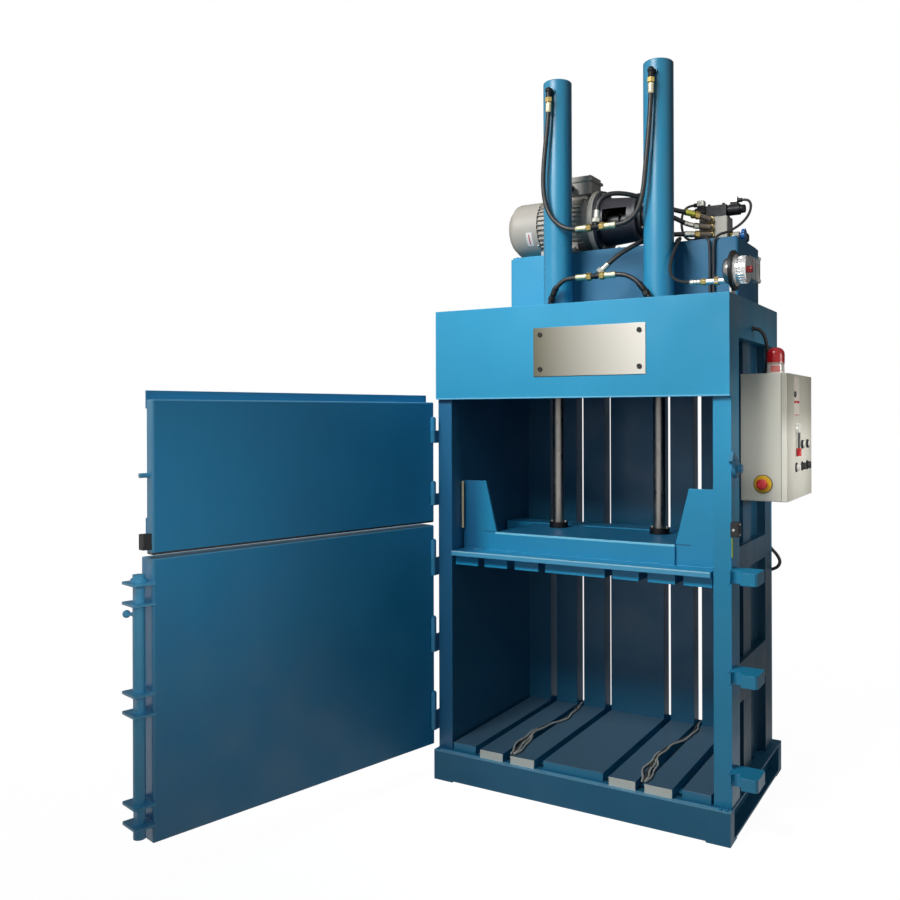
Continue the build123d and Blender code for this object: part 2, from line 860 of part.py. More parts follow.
def fan_cover():
    """Pressed cowl with a ring of inlet slots in its end."""
    wall = 3
    cowl = turned_x([
        (cover_left, 0), (cover_left, cover_radius - 30), (cover_left + 26, cover_radius - 4),
        (cover_left + 40, cover_radius), (motor_left + 12, cover_radius),
        (motor_left + 12, cover_radius - wall), (cover_left + 42, cover_radius - wall),
        (cover_left + 28, cover_radius - wall - 5), (cover_left + wall, cover_radius - 34),
        (cover_left + wall, 0),
    ])
    for index in range(12):
        slot = block((cover_left - 1, cover_left + wall + 1), (34, 82), (-5, 5))
        cowl -= Rot(index * 30, 0, 0) * slot
    lug = block((motor_left + 2, motor_left + 11), (motor_radius + seat, cover_radius - 1), (-8, 8))
    for index in range(4):
        cowl += Rot(45 + index * 90, 0, 0) * lug
    return on_drive_axis(cowl)


def motor_rotor():
    """Motor shaft with cooling fan, jaw coupling and the pump's driven shaft, turning as one."""
    shaft = bar((cover_left + 30, 0, 0), (shaft_end, 0, 0), shaft_radius)
    fan_x = (cover_left + 52, cover_left + 92)
    hub = bar((fan_x[0], 0, 0), (fan_x[1], 0, 0), 34)
    blade = block(fan_x, (30, fan_radius), (-2, 2))
    rotor = shaft + hub
    for index in range(9):
        rotor += Rot(index * 40, 0, 0) * blade
    rotor += bar((shaft_end - 60, 0, 0), (shaft_end, 0, 0), coupling_radius)
    far = shaft_end + coupling_gap
    rotor += bar((far, 0, 0), (far + pump_hub_length, 0, 0), coupling_radius)
    rotor += bar((shaft_end - 1, 0, 0), (far + 1, 0, 0), coupling_radius - 14)
    jaw = block((shaft_end - 1, far + 1), (18, coupling_radius - 2), (-9, 9))
    for index in range(3):
        rotor += Rot(index * 120, 0, 0) * jaw
    rotor += bar((far, 0, 0), (bell_right + pump_shaft_depth, 0, 0), pump_shaft_radius)
    return on_drive_axis(rotor)


def terminal_box():
    """Cast box with a lid, on top of the motor."""
    low = drive_z + motor_radius + 12 + seat
    y = (drive_y - terminal_box_half_depth, drive_y + terminal_box_half_depth)
    box = block(terminal_box_x, y, (low, low + terminal_box_height))
    box = chamfer(box.edges().filter_by(Axis.Z), 8)
    rim_x = (terminal_box_x[0] - 6, terminal_box_x[1] + 6)
    rim_z = (low + terminal_box_height - 26, low + terminal_box_height - 14)
    rim = block(rim_x, (y[0] - 6, y[1] + 6), rim_z)
    entry_x = (terminal_box_x[0] + terminal_box_x[1]) / 2
    entry = bar((entry_x, y[0] - 18, low + 26), (entry_x, y[0] + 1, low + 26), 15)
    return box + rim + entry


def bell_housing():
    """Cast tube between motor and pump, with an inspection window at the front and back."""
    left = motor_right + motor_flange + seat
    bell = turned_x([
        (left, bell_radius - bell_wall),
        (left, motor_flange_radius - 4), (left + 14, motor_flange_radius - 4),
        (left + 20, bell_radius + 6), (bell_right - 18, bell_radius - 6), (bell_right - 14, bell_radius + 10),
        (bell_right, bell_radius + 10), (bell_right, 30), (bell_right - 14, 30),
        (bell_right - 14, bell_radius - bell_wall - 8),
    ])
    bell -= block(window_x, (-bell_radius - 20, bell_radius + 20), (-window_half, window_half))
    return on_drive_axis(bell)


pump_outlet = (pump_outlet_x, drive_y - pump_radius - pump_outlet_reach, drive_z)


def hydraulic_pump():
    """Gear pump with mounting flange, outlet boss and the bore its shaft turns in."""
    start = bell_right + seat
    pump = turned_x([
        (start, 0), (start, 84), (start + 14, 84), (start + 14, pump_radius),
        (pump_right - 10, pump_radius), (pump_right, pump_radius - 12), (pump_right, 0),
    ])
    outlet_end = (pump_outlet_x, -pump_radius - pump_outlet_reach, 0)
    pump += bar((pump_outlet_x, -pump_radius + 6, 0), outlet_end, 20)
    bore = bar((start - 1, 0, 0), (bell_right + pump_shaft_depth + 1, 0, 0), pump_shaft_radius + running)
    return on_drive_axis(pump - bore)


# Valve group

relief_z = lid_top + 32
gauge_port_z = lid_top + 14
gauge_port_y = manifold_y[1] - 33
gauge_port_reach = 11
manifold_ports = [
    (lid_top + 98, (-0.78, -0.55, 0.30)),
    (lid_top + 65, (-0.93, -0.35, 0.12)),
    (lid_top + 32, (-0.80, -0.60, 0.0)),
]


def valve_manifold():
    """Port block on the lid with three front elbows and the relief cartridge."""
    top = lid_top + manifold_height
    body = block(manifold_x, manifold_y, (lid_top + seat, top))
    body = chamfer(body.edges().filter_by(Axis.Z), 3)
    for height, direction in manifold_ports:
        corner = (port_elbow_x, port_elbow_y, height)
        body += bar((port_elbow_x, manifold_y[0] + 1, height), corner, 13)
        body += Pos(*corner) * Sphere(13)
        body += bar(corner, leg_end(corner, direction, port_elbow_leg), 12)
    middle_y = (manifold_y[0] + manifold_y[1]) / 2
    body += bar((manifold_x[1] - 1, middle_y, relief_z), (manifold_x[1] + 40, middle_y, relief_z), 15)
    gauge_end = (manifold_x[0] - gauge_port_reach, gauge_port_y, gauge_port_z)
    body += bar((manifold_x[0] + 1, gauge_port_y, gauge_port_z), gauge_end, 11)
    spindle_end = (manifold_x[1] + 41, middle_y, relief_z)
    body -= bar((manifold_x[1] + 4, middle_y, relief_z), spindle_end, 7 + running)
    return body


def relief_wheel():
    """Scalloped adjusting wheel on its spindle."""
    middle_y = (manifold_y[0] + manifold_y[1]) / 2
    start = manifold_x[1] + 10
    face = manifold_x[1] + 52
    wheel = extrude(Plane.YZ * Circle(wheel_radius), amount=wheel_thickness)
    for index in range(6):
        notch = Rot(index * 60, 0, 0) * Pos(0, wheel_radius + 3, 0)
        wheel -= notch * extrude(Plane.YZ * Circle(7), amount=wheel_thickness)
    spindle = bar((start - face, 0, 0), (1, 0, 0), 7)
    return Pos(face, middle_y, relief_z) * (wheel + spindle)


def directional_valve():
    """Solenoid valve across the manifold, a coil at each end and a plug on each coil."""
    low = lid_top + manifold_height + seat
    middle_x = (manifold_x[0] + manifold_x[1]) / 2 + 8
    middle_y = (manifold_y[0] + manifold_y[1]) / 2
    axis_z = low + valve_height / 2
    body_z = (low, low + valve_height - 8)
    body = block((middle_x - 44, middle_x + 44), (middle_y - 30, middle_y + 30), body_z)
    left_end = (middle_x - valve_half_length, middle_y, axis_z)
    right_end = (middle_x + valve_half_length, middle_y, axis_z)
    body += bar(left_end, right_end, coil_radius - 6)
    for side in (-1, 1):
        near = middle_x + side * 50
        far = middle_x + side * (valve_half_length - 12)
        body += bar((near, middle_y, axis_z), (far, middle_y, axis_z), coil_radius)
        plug_x = middle_x + side * 72
        body += block((plug_x - 15, plug_x + 15), (middle_y - 15, middle_y + 15), (axis_z, axis_z + 52))
        body += bar((plug_x, middle_y, axis_z + 38), (plug_x + side * 32, middle_y, axis_z + 38), 9)
    return body


# Hose tees

tee_arm = 78
tee_branch = 60
upper_tee_rise = 351
lower_tee_rise = 144
upper_tee_centre = (-14, elbow_y, header_top + upper_tee_rise)
lower_tee_centre = (-14, elbow_y, header_top + lower_tee_rise)
upper_branch = (0.05, 0.1, 1)
lower_branch = (0.66, 0.3, 0.69)


def hose_tee(centre, branch):
    """Forged tee with a crimped hose end on each of its three arms."""
    body = Pos(*centre) * Sphere(13)
    for direction, length in (((-1, 0, 0), tee_arm), ((1, 0, 0), tee_arm), (branch, tee_branch)):
        body += bar(centre, leg_end(centre, direction, length), 11)
        body += bar(leg_end(centre, direction, 20), leg_end(centre, direction, 36), 14.5)
    return body


# Pressure gauge

def pressure_gauge():
    """Contact gauge on a bracket plate, its dial facing the machine's right."""
    ring = bar((gauge_x, gauge_y, gauge_z), (gauge_x + 8, gauge_y, gauge_z), gauge_ring_radius)
    drum_end = gauge_x + 8 + gauge_drum_length
    drum = bar((gauge_x + 7, gauge_y, gauge_z), (drum_end, gauge_y, gauge_z), gauge_drum_radius)
    drum = fillet(drum.edges().sort_by(Axis.X)[-1], 6)
    knob = bar((drum_end - 1, gauge_y, gauge_z), (drum_end + 14, gauge_y, gauge_z), 9)
    plate = block((gauge_x - 6, gauge_x + 1), (gauge_y - 30, gauge_y + 30), (header_top + seat, gauge_z))
    foot_z = (header_top + seat, header_top + seat + 6)
    foot = block((gauge_x - 46, gauge_x + 1), (gauge_y - 30, gauge_y + 30), foot_z)
    stem_z = gauge_z - 34
    stem = bar((gauge_x - gauge_stem, gauge_y, stem_z), (gauge_x - 5, gauge_y, stem_z), 11)
    nut = bar((gauge_x - 70, gauge_y, stem_z), (gauge_x - 52, gauge_y, stem_z), 15)
    return ring + drum + knob + plate + foot + stem + nut


gauge_stem_end = (gauge_x - gauge_stem, gauge_y, gauge_z - 34)
gauge_port = (manifold_x[0] - gauge_port_reach, gauge_port_y, gauge_port_z)
header_exit = ((post_half_width - cable_hole_depth, *cable_hole), rightward)
cabinet_entry = (cabinet_x[0] + 65.7, cabinet_y[0] + 135, cabinet_z[1])
cable_loop_top = (back_post_half_width - 22, body_back, upper_band[0] + 35)
cable_loop_bottom = (back_post_half_width - 22, body_back, upper_band[0] - 81)


def coil_exit(side):
    """End of a coil plug's side gland."""
    middle_x = (manifold_x[0] + manifold_x[1]) / 2 + 8
    middle_y = (manifold_y[0] + manifold_y[1]) / 2
    axis_z = lid_top + manifold_height + seat + valve_height / 2
    return (middle_x + side * (72 + 32), middle_y, axis_z + 38), (side, 0, 0)


def coil_drop(index):
    """Where the coil cables meet the header's deck, in front of the tank."""
    return (416 + 15 * index, tank_front - 12, header_top)


# Control cabinet

cabinet_face = cabinet_x[1] + seat + cabinet_door_thickness
case_hinge_x = cabinet_x[1] + seat / 2
case_hinge_y = cabinet_y[1] + case_knuckle_radius + seat


def control_cabinet():
    """Open-fronted steel case on the right side, hollow behind its door, with its hinge pins."""
    case = block(cabinet_x, cabinet_y, cabinet_z)
    case = fillet(case.edges().filter_by(Axis.X), 4)
    w = cabinet_wall
    hollow_y = (cabinet_y[0] + w, cabinet_y[1] - w)
    case -= block((cabinet_x[0] + w, cabinet_x[1] + 1), hollow_y, (cabinet_z[0] + w, cabinet_z[1] - w))
    for middle in case_hinges:
        low = (case_hinge_x, case_hinge_y, middle - case_hinge_half)
        split = (case_hinge_x, case_hinge_y, middle - seat / 2)
        top = (case_hinge_x, case_hinge_y, middle + case_hinge_half)
        leaf_x = (case_hinge_x - case_knuckle_radius, cabinet_x[1])
        leaf = block(leaf_x, (cabinet_y[1] - 1, case_hinge_y), (low[2], split[2]))
        case += bar(low, split, case_knuckle_radius) + bar(low, top, case_pin_radius) + leaf
    return case


def case_knuckle(middle):
    """Upper half of one cabinet hinge, on the door."""
    split = (case_hinge_x, case_hinge_y, middle + seat / 2)
    top = (case_hinge_x, case_hinge_y, middle + case_hinge_half)
    leaf_x = (cabinet_x[1] + seat, case_hinge_x + case_knuckle_radius)
    leaf = block(leaf_x, (cabinet_y[1] - 1, case_hinge_y), (split[2], top[2]))
    hole = bar((*split[:2], split[2] - 1), (*top[:2], top[2] + 1), case_pin_radius + running)
    return bar(split, top, case_knuckle_radius) + leaf - hole


def pilot_lamp(place):
    bezel = bar((cabinet_face - 1, place, lamp_height), (cabinet_face + 6, place, lamp_height), 15)
    return bezel + bar((cabinet_face + 5, place, lamp_height), (cabinet_face + 14, place, lamp_height), 11)


def cabinet_door():
    """Pan-shaped door with its two pilot lamps, hinged at its rear edge."""
    low = cabinet_x[1] + seat
    door = block((low, low + cabinet_door_thickness), cabinet_y, cabinet_z)
    door = fillet(door.edges().filter_by(Axis.X), 4)
    edge = 14
    pan_y = (cabinet_y[0] + edge, cabinet_y[1] - edge)
    pan_z = (cabinet_z[0] + edge, cabinet_z[1] - edge)
    door -= block((low - 1, low + cabinet_door_thickness - 4), pan_y, pan_z)
    face = low + cabinet_door_thickness
    for place in button_places:
        door -= bar((low, place, button_height), (face + 1, place, button_height), 11 + running)
    hub_y, hub_z = isolator_place
    door -= bar((low, hub_y, hub_z), (face + 1, hub_y, hub_z), 8 + running)
    lamps = [pilot_lamp(place) for place in lamp_places]
    return joined([door] + lamps + [case_knuckle(middle) for middle in case_hinges])


def push_button(place):
    """Cap outside and stem through the door."""
    cap = bar((cabinet_face + 6, place, button_height), (cabinet_face + 16, place, button_height), 14)
    stem = bar((cabinet_face - 14, place, button_height), (cabinet_face + 7, place, button_height), 11)
    stop = bar((cabinet_face - 14, place, button_height), (cabinet_face - 5, place, button_height), 14)
    return cap + stem + stop


def isolator_handle():
    """Rotary switch with a long lever hanging down."""
    hub_y, hub_z = isolator_place
    hub = bar((cabinet_face + seat, hub_y, hub_z), (cabinet_face + 14, hub_y, hub_z), 20)
    stem = bar((cabinet_face - 14, hub_y, hub_z), (cabinet_face + 1, hub_y, hub_z), 8)
    lever = bar((cabinet_face + 11, hub_y, hub_z), (cabinet_face + 11, hub_y, hub_z - isolator_length), 5)
    lever_end = hub_z - isolator_length
    grip = bar((cabinet_face + 11, hub_y, lever_end + 14), (cabinet_face + 11, hub_y, lever_end - 16), 9)
    return hub + stem + lever + grip


def stop_collar():
    """Round plate under the emergency stop, on the cabinet's front side."""
    x, z = stop_place
    face = cabinet_y[0] - seat
    collar = bar((x, face, z), (x, face - 12, z), 33)
    collar = fillet(collar.edges().sort_by(Axis.Y)[0], 5)
    return collar - bar((x, face + 1, z), (x, face - 13, z), 11 + running)


def stop_head():
    x, z = stop_place
    face = cabinet_y[0] - seat
    stem = bar((x, face - 8, z), (x, face - 26, z), 11)
    head = bar((x, face - 20, z), (x, face - 36, z), 20)
    head = fillet(head.edges().sort_by(Axis.Y)[0], 7)
    return stem + head


def beacon_base():
    x, y = beacon_place
    low = cabinet_z[1] + seat
    base = bar((x, y, low), (x, y, low + beacon_base_height), beacon_radius - 2)
    return base + bar((x, y, low), (x, y, low + 6), beacon_radius)


def beacon_lens():
    """Domed cap."""
    x, y = beacon_place
    low = cabinet_z[1] + beacon_base_height + 2 * seat
    dome = bar((x, y, low), (x, y, low + beacon_lens_height), beacon_radius)
    return fillet(dome.edges().sort_by(Axis.Z)[-1], beacon_radius - 6)


# Hoses, cables and ropes

def laid(points, start, end):
    """A drawn route moved to run between two fittings, each a (point, way out) pair."""
    places = [Vector(*point) for point in points]
    ends = [Vector(*point) + Vector(*way).normalized() * seat for point, way in (start, end)]
    shifts = [ends[0] - places[0], ends[1] - places[-1]]
    moved = []
    for index, place in enumerate(places):
        share = min(max((index - 1) / (len(places) - 3), 0), 1)
        moved.append(place + shifts[0] * (1 - share) + shifts[1] * share)
    moved[1] = leg_end(ends[0], start[1], (places[1] - places[0]).length)
    moved[-2] = leg_end(ends[1], end[1], (places[-2] - places[-1]).length)
    return moved


def cord(name, points, diameter):
    """Round tube along straight runs joined by tangent arcs, as large as the runs allow."""
    places = [Vector(*point) for point in points]
    radii = []
    for before, here, after in zip(places, places[1:], places[2:]):
        first, second = here - before, after - here
        turn = math.radians(first.get_angle(second))
        radii.append(0.45 * min(first.length, second.length) / math.tan(turn / 2))
    path = FilletPolyline(*places, radius=radii)
    tube = sweep(Plane(origin=path @ 0, z_dir=path % 0) * Circle(diameter / 2), path=path)
    ideal = math.pi * diameter ** 2 / 4 * path.length
    print(name, "length", round(path.length), "radii", [round(r) for r in radii],
          "volume over section times length", round(tube.volume / ideal, 4))
    return tube


def port_exit(name):
    corner, direction = port_legs[name]
    return leg_end(corner, direction, elbow_leg), direction


def tee_exit(centre, direction, length):
    return leg_end(centre, direction, length), direction


def manifold_exit(index):
    height, direction = manifold_ports[index]
    return leg_end((port_elbow_x, port_elbow_y, height), direction, port_elbow_leg), direction


routes = {
    "top_hose_left": (hose, port_exit("top_left"), tee_exit(upper_tee_centre, leftward, tee_arm), [
        (-231, -104, 2920), (-231, -104, 2862), (-240, -105, 2770), (-250, -106, 2680), (-257, -106, 2600),
        (-258, -105, 2520), (-246, -104, 2452), (-222, -104, 2402), (-190, -104, 2368), (-156, -104, 2347),
        (-122, -104, 2336), (-92, -104, 2336),
    ]),
    "top_hose_right": (hose, port_exit("top_right"), tee_exit(upper_tee_centre, rightward, tee_arm), [
        (231, -104, 2920), (231, -104, 2862), (226, -105, 2770), (219, -106, 2680), (211, -106, 2600),
        (204, -105, 2530), (196, -104, 2460), (180, -104, 2402), (160, -104, 2368), (132, -104, 2347),
        (98, -104, 2336), (64, -104, 2336),
    ]),
    "bottom_hose_left": (hose, tee_exit(lower_tee_centre, leftward, tee_arm), port_exit("bottom_left"), [
        (-92, -104, 2129), (-142, -104, 2129), (-178, -104, 2113), (-208, -104, 2080), (-222, -104, 2037),
    ]),
    "bottom_hose_right": (hose, tee_exit(lower_tee_centre, rightward, tee_arm), port_exit("bottom_right"), [
        (64, -104, 2129), (104, -104, 2129), (144, -104, 2112), (182, -104, 2083), (215, -104, 2033),
    ]),
    "raise_hose": (branch_hose, tee_exit(upper_tee_centre, upper_branch, tee_branch), manifold_exit(0), [
        (-11, -98, 2396), (-10, -95, 2422), (-2, -89, 2448), (13, -78, 2467), (33, -63, 2478), (68, -37, 2482),
        (113, -3, 2476), (163, 34, 2456), (212, 72, 2434), (262, 106, 2414), (320, 144, 2403), (351, 166, 2391),
    ]),
    "lower_hose": (branch_hose, tee_exit(lower_tee_centre, lower_branch, tee_branch), manifold_exit(2), [
        (26, -86, 2170), (52, -74, 2198), (92, -50, 2232), (136, -16, 2264), (168, 36, 2290), (208, 78, 2306),
        (258, 112, 2314), (318, 140, 2312), (350, 164, 2312),
    ]),
    "pump_hose": (branch_hose, (pump_outlet, (0, -1, 0)), manifold_exit(1), [
        (140, 184, 2430), (140, 157, 2430), (150, 132, 2427), (169, 113, 2421), (194, 102, 2412),
        (221, 101, 2400), (262, 112, 2382), (307, 161, 2355), (344, 175, 2351),
    ]),
    "gauge_hose": (gauge_hose, (gauge_stem_end, leftward), (gauge_port, leftward), [
        (496, -236, 2050), (452, -236, 2050), (404, -220, 2056), (360, -186, 2072), (326, -144, 2098),
        (308, -104, 2134), (304, -72, 2178), (306, -36, 2222), (308, 6, 2256), (303, 50, 2281), (286, 94, 2291),
        (261, 137, 2292), (244, 178, 2293), (244, 210, 2294), (256, 238, 2294), (278, 260, 2294),
        (306, 272, 2294), (322, 272, 2294),
    ]),
    "left_coil_cable": (wire, coil_exit(-1), (coil_drop(0), (0, 0, 1)), [
        (298, 260, 2461), (276, 260, 2461), (258, 252, 2446), (250, 242, 2419), (250, 232, 2388), (256, 220, 2356),
        (268, 204, 2325), (288, 186, 2304), (314, 168, 2292), (344, 146, 2291), (374, 120, 2291), (398, 98, 2287),
        (412, 86, 2268), (416, 84, 2238), (417, 86, 2170), (415, 88, 2100), (416, 88, 2040), (416, 88, 1986),
    ]),
    "right_coil_cable": (wire, coil_exit(1), (coil_drop(1), (0, 0, 1)), [
        (506, 260, 2461), (528, 260, 2461), (545, 249, 2442), (550, 230, 2412), (544, 206, 2378),
        (526, 180, 2346), (500, 153, 2320), (472, 127, 2303), (447, 102, 2292), (434, 88, 2270), (431, 84, 2238),
        (432, 86, 2170), (430, 88, 2100), (431, 88, 2040), (431, 88, 1986),
    ]),
    "cabinet_cable": (cable, header_exit, (cabinet_entry, (0, 0, 1)), [
        (606, -67, 1879), (642, -67, 1879), (659, -63, 1868), (670, -57, 1850), (675, -50, 1827),
        (675, -38, 1796), (672, -24, 1764), (668, -14, 1732), (666, -10, 1701),
    ]),
    "switch_cable": (cable, (cable_loop_top, (0, 1, 0)), (cable_loop_bottom, (0, 1, 0)), [
        (578, 376, 980), (580, 396, 976), (596, 404, 956), (618, 402, 934), (632, 398, 908), (622, 398, 884),
        (600, 402, 872), (582, 396, 866), (578, 376, 864),
    ]),
}
floor_ropes = {
    "left_floor_rope": [
        (-262, -394), (-282, -290), (-300, -180), (-305, -80), (-292, 0), (-268, 60), (-258, 130), (-268, 210),
        (-282, 290), (-286, 360),
    ],
    "right_floor_rope": [
        (296, -396), (277, -300), (262, -190), (254, -80), (260, 10), (280, 90), (298, 160), (299, 230),
        (288, 300), (284, 360),
    ],
}


def build_all():
    save("base_frame", base_frame())
    save("floor_deck", floor_deck())
    right_wall = side_wall()
    save("right_side_wall", right_wall + latch_pin())
    save("left_side_wall", joined([mirrored(right_wall)] + frame_knuckles()))
    save("back_wall", back_wall())
    save("header_frame", header_frame())
    save("cylinder_barrel_right", barrel())
    save("cylinder_barrel_left", Pos(-2 * cylinder_x, 0, 0) * barrel())
    save("cylinder_elbows", port_elbows())
    save("piston_rod_right", piston_rod())
    save("piston_rod_left", Pos(-2 * cylinder_x, 0, 0) * piston_rod())
    save("platen", platen())
    save("rod_collars", rod_collars())
    save("upper_door", upper_door_panel())
    save("lower_door", lower_door_panel())
    save("hinge_pins", hinge_pins())
    save("lock_bar", lock_bar())
    save("lock_keepers", Compound(children=[keeper(height) for height in lock_heights]))
    save("door_switch_actuator", door_switch_actuator())
    save("upper_latch", upper_latch())
    save("door_switch", door_switch())
    save("oil_tank", oil_tank())
    save("tank_lid", tank_lid())
    save("level_gauge", level_gauge())
    save("motor_body", motor_body())
    save("motor_fan_cover", fan_cover())
    save("motor_rotor", motor_rotor())
    save("motor_terminal_box", terminal_box())
    save("bell_housing", bell_housing())
    save("hydraulic_pump", hydraulic_pump())
    save("valve_manifold", valve_manifold())
    save("relief_wheel", relief_wheel())
    save("directional_valve", directional_valve())
    save("upper_hose_tee", hose_tee(upper_tee_centre, upper_branch))
    save("lower_hose_tee", hose_tee(lower_tee_centre, lower_branch))
    save("pressure_gauge", pressure_gauge())
    save("control_cabinet", control_cabinet())
    save("cabinet_door", cabinet_door())
    for name, place in zip(("start_button", "stop_button", "raise_button"), button_places):
        save(name, push_button(place))
    save("isolator_handle", isolator_handle())
    save("emergency_stop_collar", stop_collar())
    save("emergency_stop_head", stop_head())
    save("beacon_base", beacon_base())
    save("beacon_lens", beacon_lens())
    for name, (diameter, start, end, points) in routes.items():
        save(name, cord(name, laid(points, start, end), diameter))
    lie = base_top + plank_height + rope / 2 + seat
    for name, points in floor_ropes.items():
        save(name, cord(name, [(x, y, lie) for x, y in points], rope))


build_all()
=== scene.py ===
import bpy
import bmesh
import math
import random
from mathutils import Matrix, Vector


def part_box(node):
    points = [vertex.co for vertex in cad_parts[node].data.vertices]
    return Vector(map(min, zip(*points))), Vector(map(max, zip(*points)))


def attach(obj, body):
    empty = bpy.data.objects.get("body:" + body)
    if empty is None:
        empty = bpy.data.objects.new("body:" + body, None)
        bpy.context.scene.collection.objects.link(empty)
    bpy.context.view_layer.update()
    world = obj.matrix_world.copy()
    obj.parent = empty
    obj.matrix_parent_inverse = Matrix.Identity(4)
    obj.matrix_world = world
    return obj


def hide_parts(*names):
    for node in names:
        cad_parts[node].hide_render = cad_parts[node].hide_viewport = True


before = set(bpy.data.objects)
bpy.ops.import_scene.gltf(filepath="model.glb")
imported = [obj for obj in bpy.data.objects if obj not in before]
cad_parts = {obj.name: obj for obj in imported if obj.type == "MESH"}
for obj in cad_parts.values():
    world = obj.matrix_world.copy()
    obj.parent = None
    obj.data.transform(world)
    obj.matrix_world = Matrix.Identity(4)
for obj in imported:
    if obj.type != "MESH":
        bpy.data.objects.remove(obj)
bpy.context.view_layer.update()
random.seed(4)

RIGHT, LEFT, BACK = (1, 0, 0), (-1, 0, 0), (0, 1, 0)
FRONT, UP, DOWN = (0, -1, 0), (0, 0, 1), (0, 0, -1)
WHITE = (1.0, 1.0, 1.0, 1.0)
# Cords thicker than this are hoses and cables and get hose rubber; thinner ones get wire rubber.
HOSE_FROM = 0.012


def middle(node):
    """Centre of a node's box."""
    low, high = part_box(node)
    return (low + high) / 2


# Materials

def colour(code):
    """Linear colour from a hex code."""
    parts = [int(code[i:i + 2], 16) / 255 for i in (0, 2, 4)]
    return [part / 12.92 if part <= 0.04045 else ((part + 0.055) / 1.055) ** 2.4 for part in parts] + [1.0]


def scaled(shade, factor):
    return [min(channel * factor, 1.0) for channel in shade[:3]] + [1.0]


class Nodes:
    """Adds shader nodes to a tree one by one."""

    def __init__(self, tree):
        self.tree = tree

    def node(self, kind, **values):
        made = self.tree.nodes.new(kind)
        for key, value in values.items():
            setattr(made, key, value)
        return made

    def link(self, source, target):
        self.tree.links.new(source, target)

    def between(self, value, low, high, out_low=0.0, out_high=1.0):
        made = self.node("ShaderNodeMapRange")
        self.link(value, made.inputs["Value"])
        for key, number in (("From Min", low), ("From Max", high), ("To Min", out_low), ("To Max", out_high)):
            made.inputs[key].default_value = number
        return made.outputs["Result"]

    def math(self, operation, first, second):
        made = self.node("ShaderNodeMath", operation=operation)
        for value, socket in zip((first, second), made.inputs):
            if isinstance(value, (int, float)):
                socket.default_value = value
            else:
                self.link(value, socket)
        return made.outputs[0]


class Finish(Nodes):
    """A principled material in coordinates of the row frame."""

    def __init__(self, name, shade, metallic=0.0, rough=0.4):
        self.material = bpy.data.materials.new(name)
        self.material.use_nodes = True
        self.material.diffuse_color = shade
        super().__init__(self.material.node_tree)
        self.shader = self.tree.nodes["Principled BSDF"]
        self.shader.inputs["Base Color"].default_value = shade
        self.shader.inputs["Metallic"].default_value = metallic
        self.shader.inputs["Roughness"].default_value = rough
        self.shade = shade
        self.place = self.node("ShaderNodeTexCoord").outputs["Object"]
        self.colour_out = None
        self.normal_out = None

    def noise(self, scale, detail=4.0, stretch=None):
        made = self.node("ShaderNodeTexNoise")
        made.inputs["Scale"].default_value = scale
        made.inputs["Detail"].default_value = detail
        place = self.place
        if stretch:
            mapping = self.node("ShaderNodeMapping")
            mapping.inputs["Scale"].default_value = stretch
            self.link(place, mapping.inputs["Vector"])
            place = mapping.outputs["Vector"]
        self.link(place, made.inputs["Vector"])
        return made.outputs["Fac"]

    def tint(self, factor, shade):
        """Mix a shade over the colour so far, by a factor."""
        made = self.node("ShaderNodeMix", data_type="RGBA")
        self.link(factor, made.inputs["Factor"])
        if self.colour_out:
            self.link(self.colour_out, made.inputs["A"])
        else:
            made.inputs["A"].default_value = self.shade
        made.inputs["B"].default_value = shade
        self.colour_out = made.outputs["Result"]
        self.link(self.colour_out, self.shader.inputs["Base Color"])

    def axes(self):
        split = self.node("ShaderNodeSeparateXYZ")
        self.link(self.place, split.inputs["Vector"])
        return split.outputs

    def box(self, low, high):
        """One inside a box, zero outside."""
        inside = None
        for axis, bottom, top in zip(self.axes(), low, high):
            over = self.math("GREATER_THAN", axis, bottom)
            under = self.math("LESS_THAN", axis, top)
            both = self.math("MULTIPLY", over, under)
            inside = both if inside is None else self.math("MULTIPLY", inside, both)
        return inside

    def patch(self, node, code, **slices):
        """Tint a node's box, or slices of it along x, y or z that are counted from its low or high side.

        A slice of both sides starts at a distance from the low one and ends at one from the high one.
        """
        low, high = [], []
        for axis, bottom, top in zip("xyz", *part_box(node)):
            side, start, end = slices.get(axis, ("both", -0.01, 0.01))
            low.append((top if side == "high" else bottom) + start)
            high.append((bottom if side == "low" else top) + end)
        self.tint(self.box(low, high), colour(code))

    def across(self, node, axis, start, end, strength, code):
        """Fade to another shade along an axis, between two distances from a node's low side."""
        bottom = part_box(node)[0]["XYZ".index(axis)]
        fade = self.between(self.axes()[axis], bottom + start, bottom + end, 0.0, strength)
        self.tint(fade, colour(code))

    def edges(self, radius):
        """Near one on sharp edges, from the difference between a bevelled and a flat normal."""
        bevel = self.node("ShaderNodeBevel", samples=4)
        bevel.inputs["Radius"].default_value = radius
        flat = self.node("ShaderNodeNewGeometry").outputs["Normal"]
        dot = self.node("ShaderNodeVectorMath", operation="DOT_PRODUCT")
        self.link(bevel.outputs["Normal"], dot.inputs[0])
        self.link(flat, dot.inputs[1])
        return self.between(dot.outputs["Value"], 0.995, 0.8)

    def bumps(self, height, distance, strength, bevel=0.0):
        """Raise the surface by a height from a noise. The first bumps may also round the edges."""
        bump = self.node("ShaderNodeBump")
        bump.inputs["Strength"].default_value = strength
        bump.inputs["Distance"].default_value = distance
        self.link(height, bump.inputs["Height"])
        if self.normal_out:
            self.link(self.normal_out, bump.inputs["Normal"])
        elif bevel:
            rounding = self.node("ShaderNodeBevel", samples=4)
            rounding.inputs["Radius"].default_value = bevel
            self.link(rounding.outputs["Normal"], bump.inputs["Normal"])
        self.normal_out = bump.outputs["Normal"]
        self.link(self.normal_out, self.shader.inputs["Normal"])

    def roughness(self, value, low, high):
        self.link(self.between(value, 0.3, 0.7, low, high), self.shader.inputs["Roughness"])


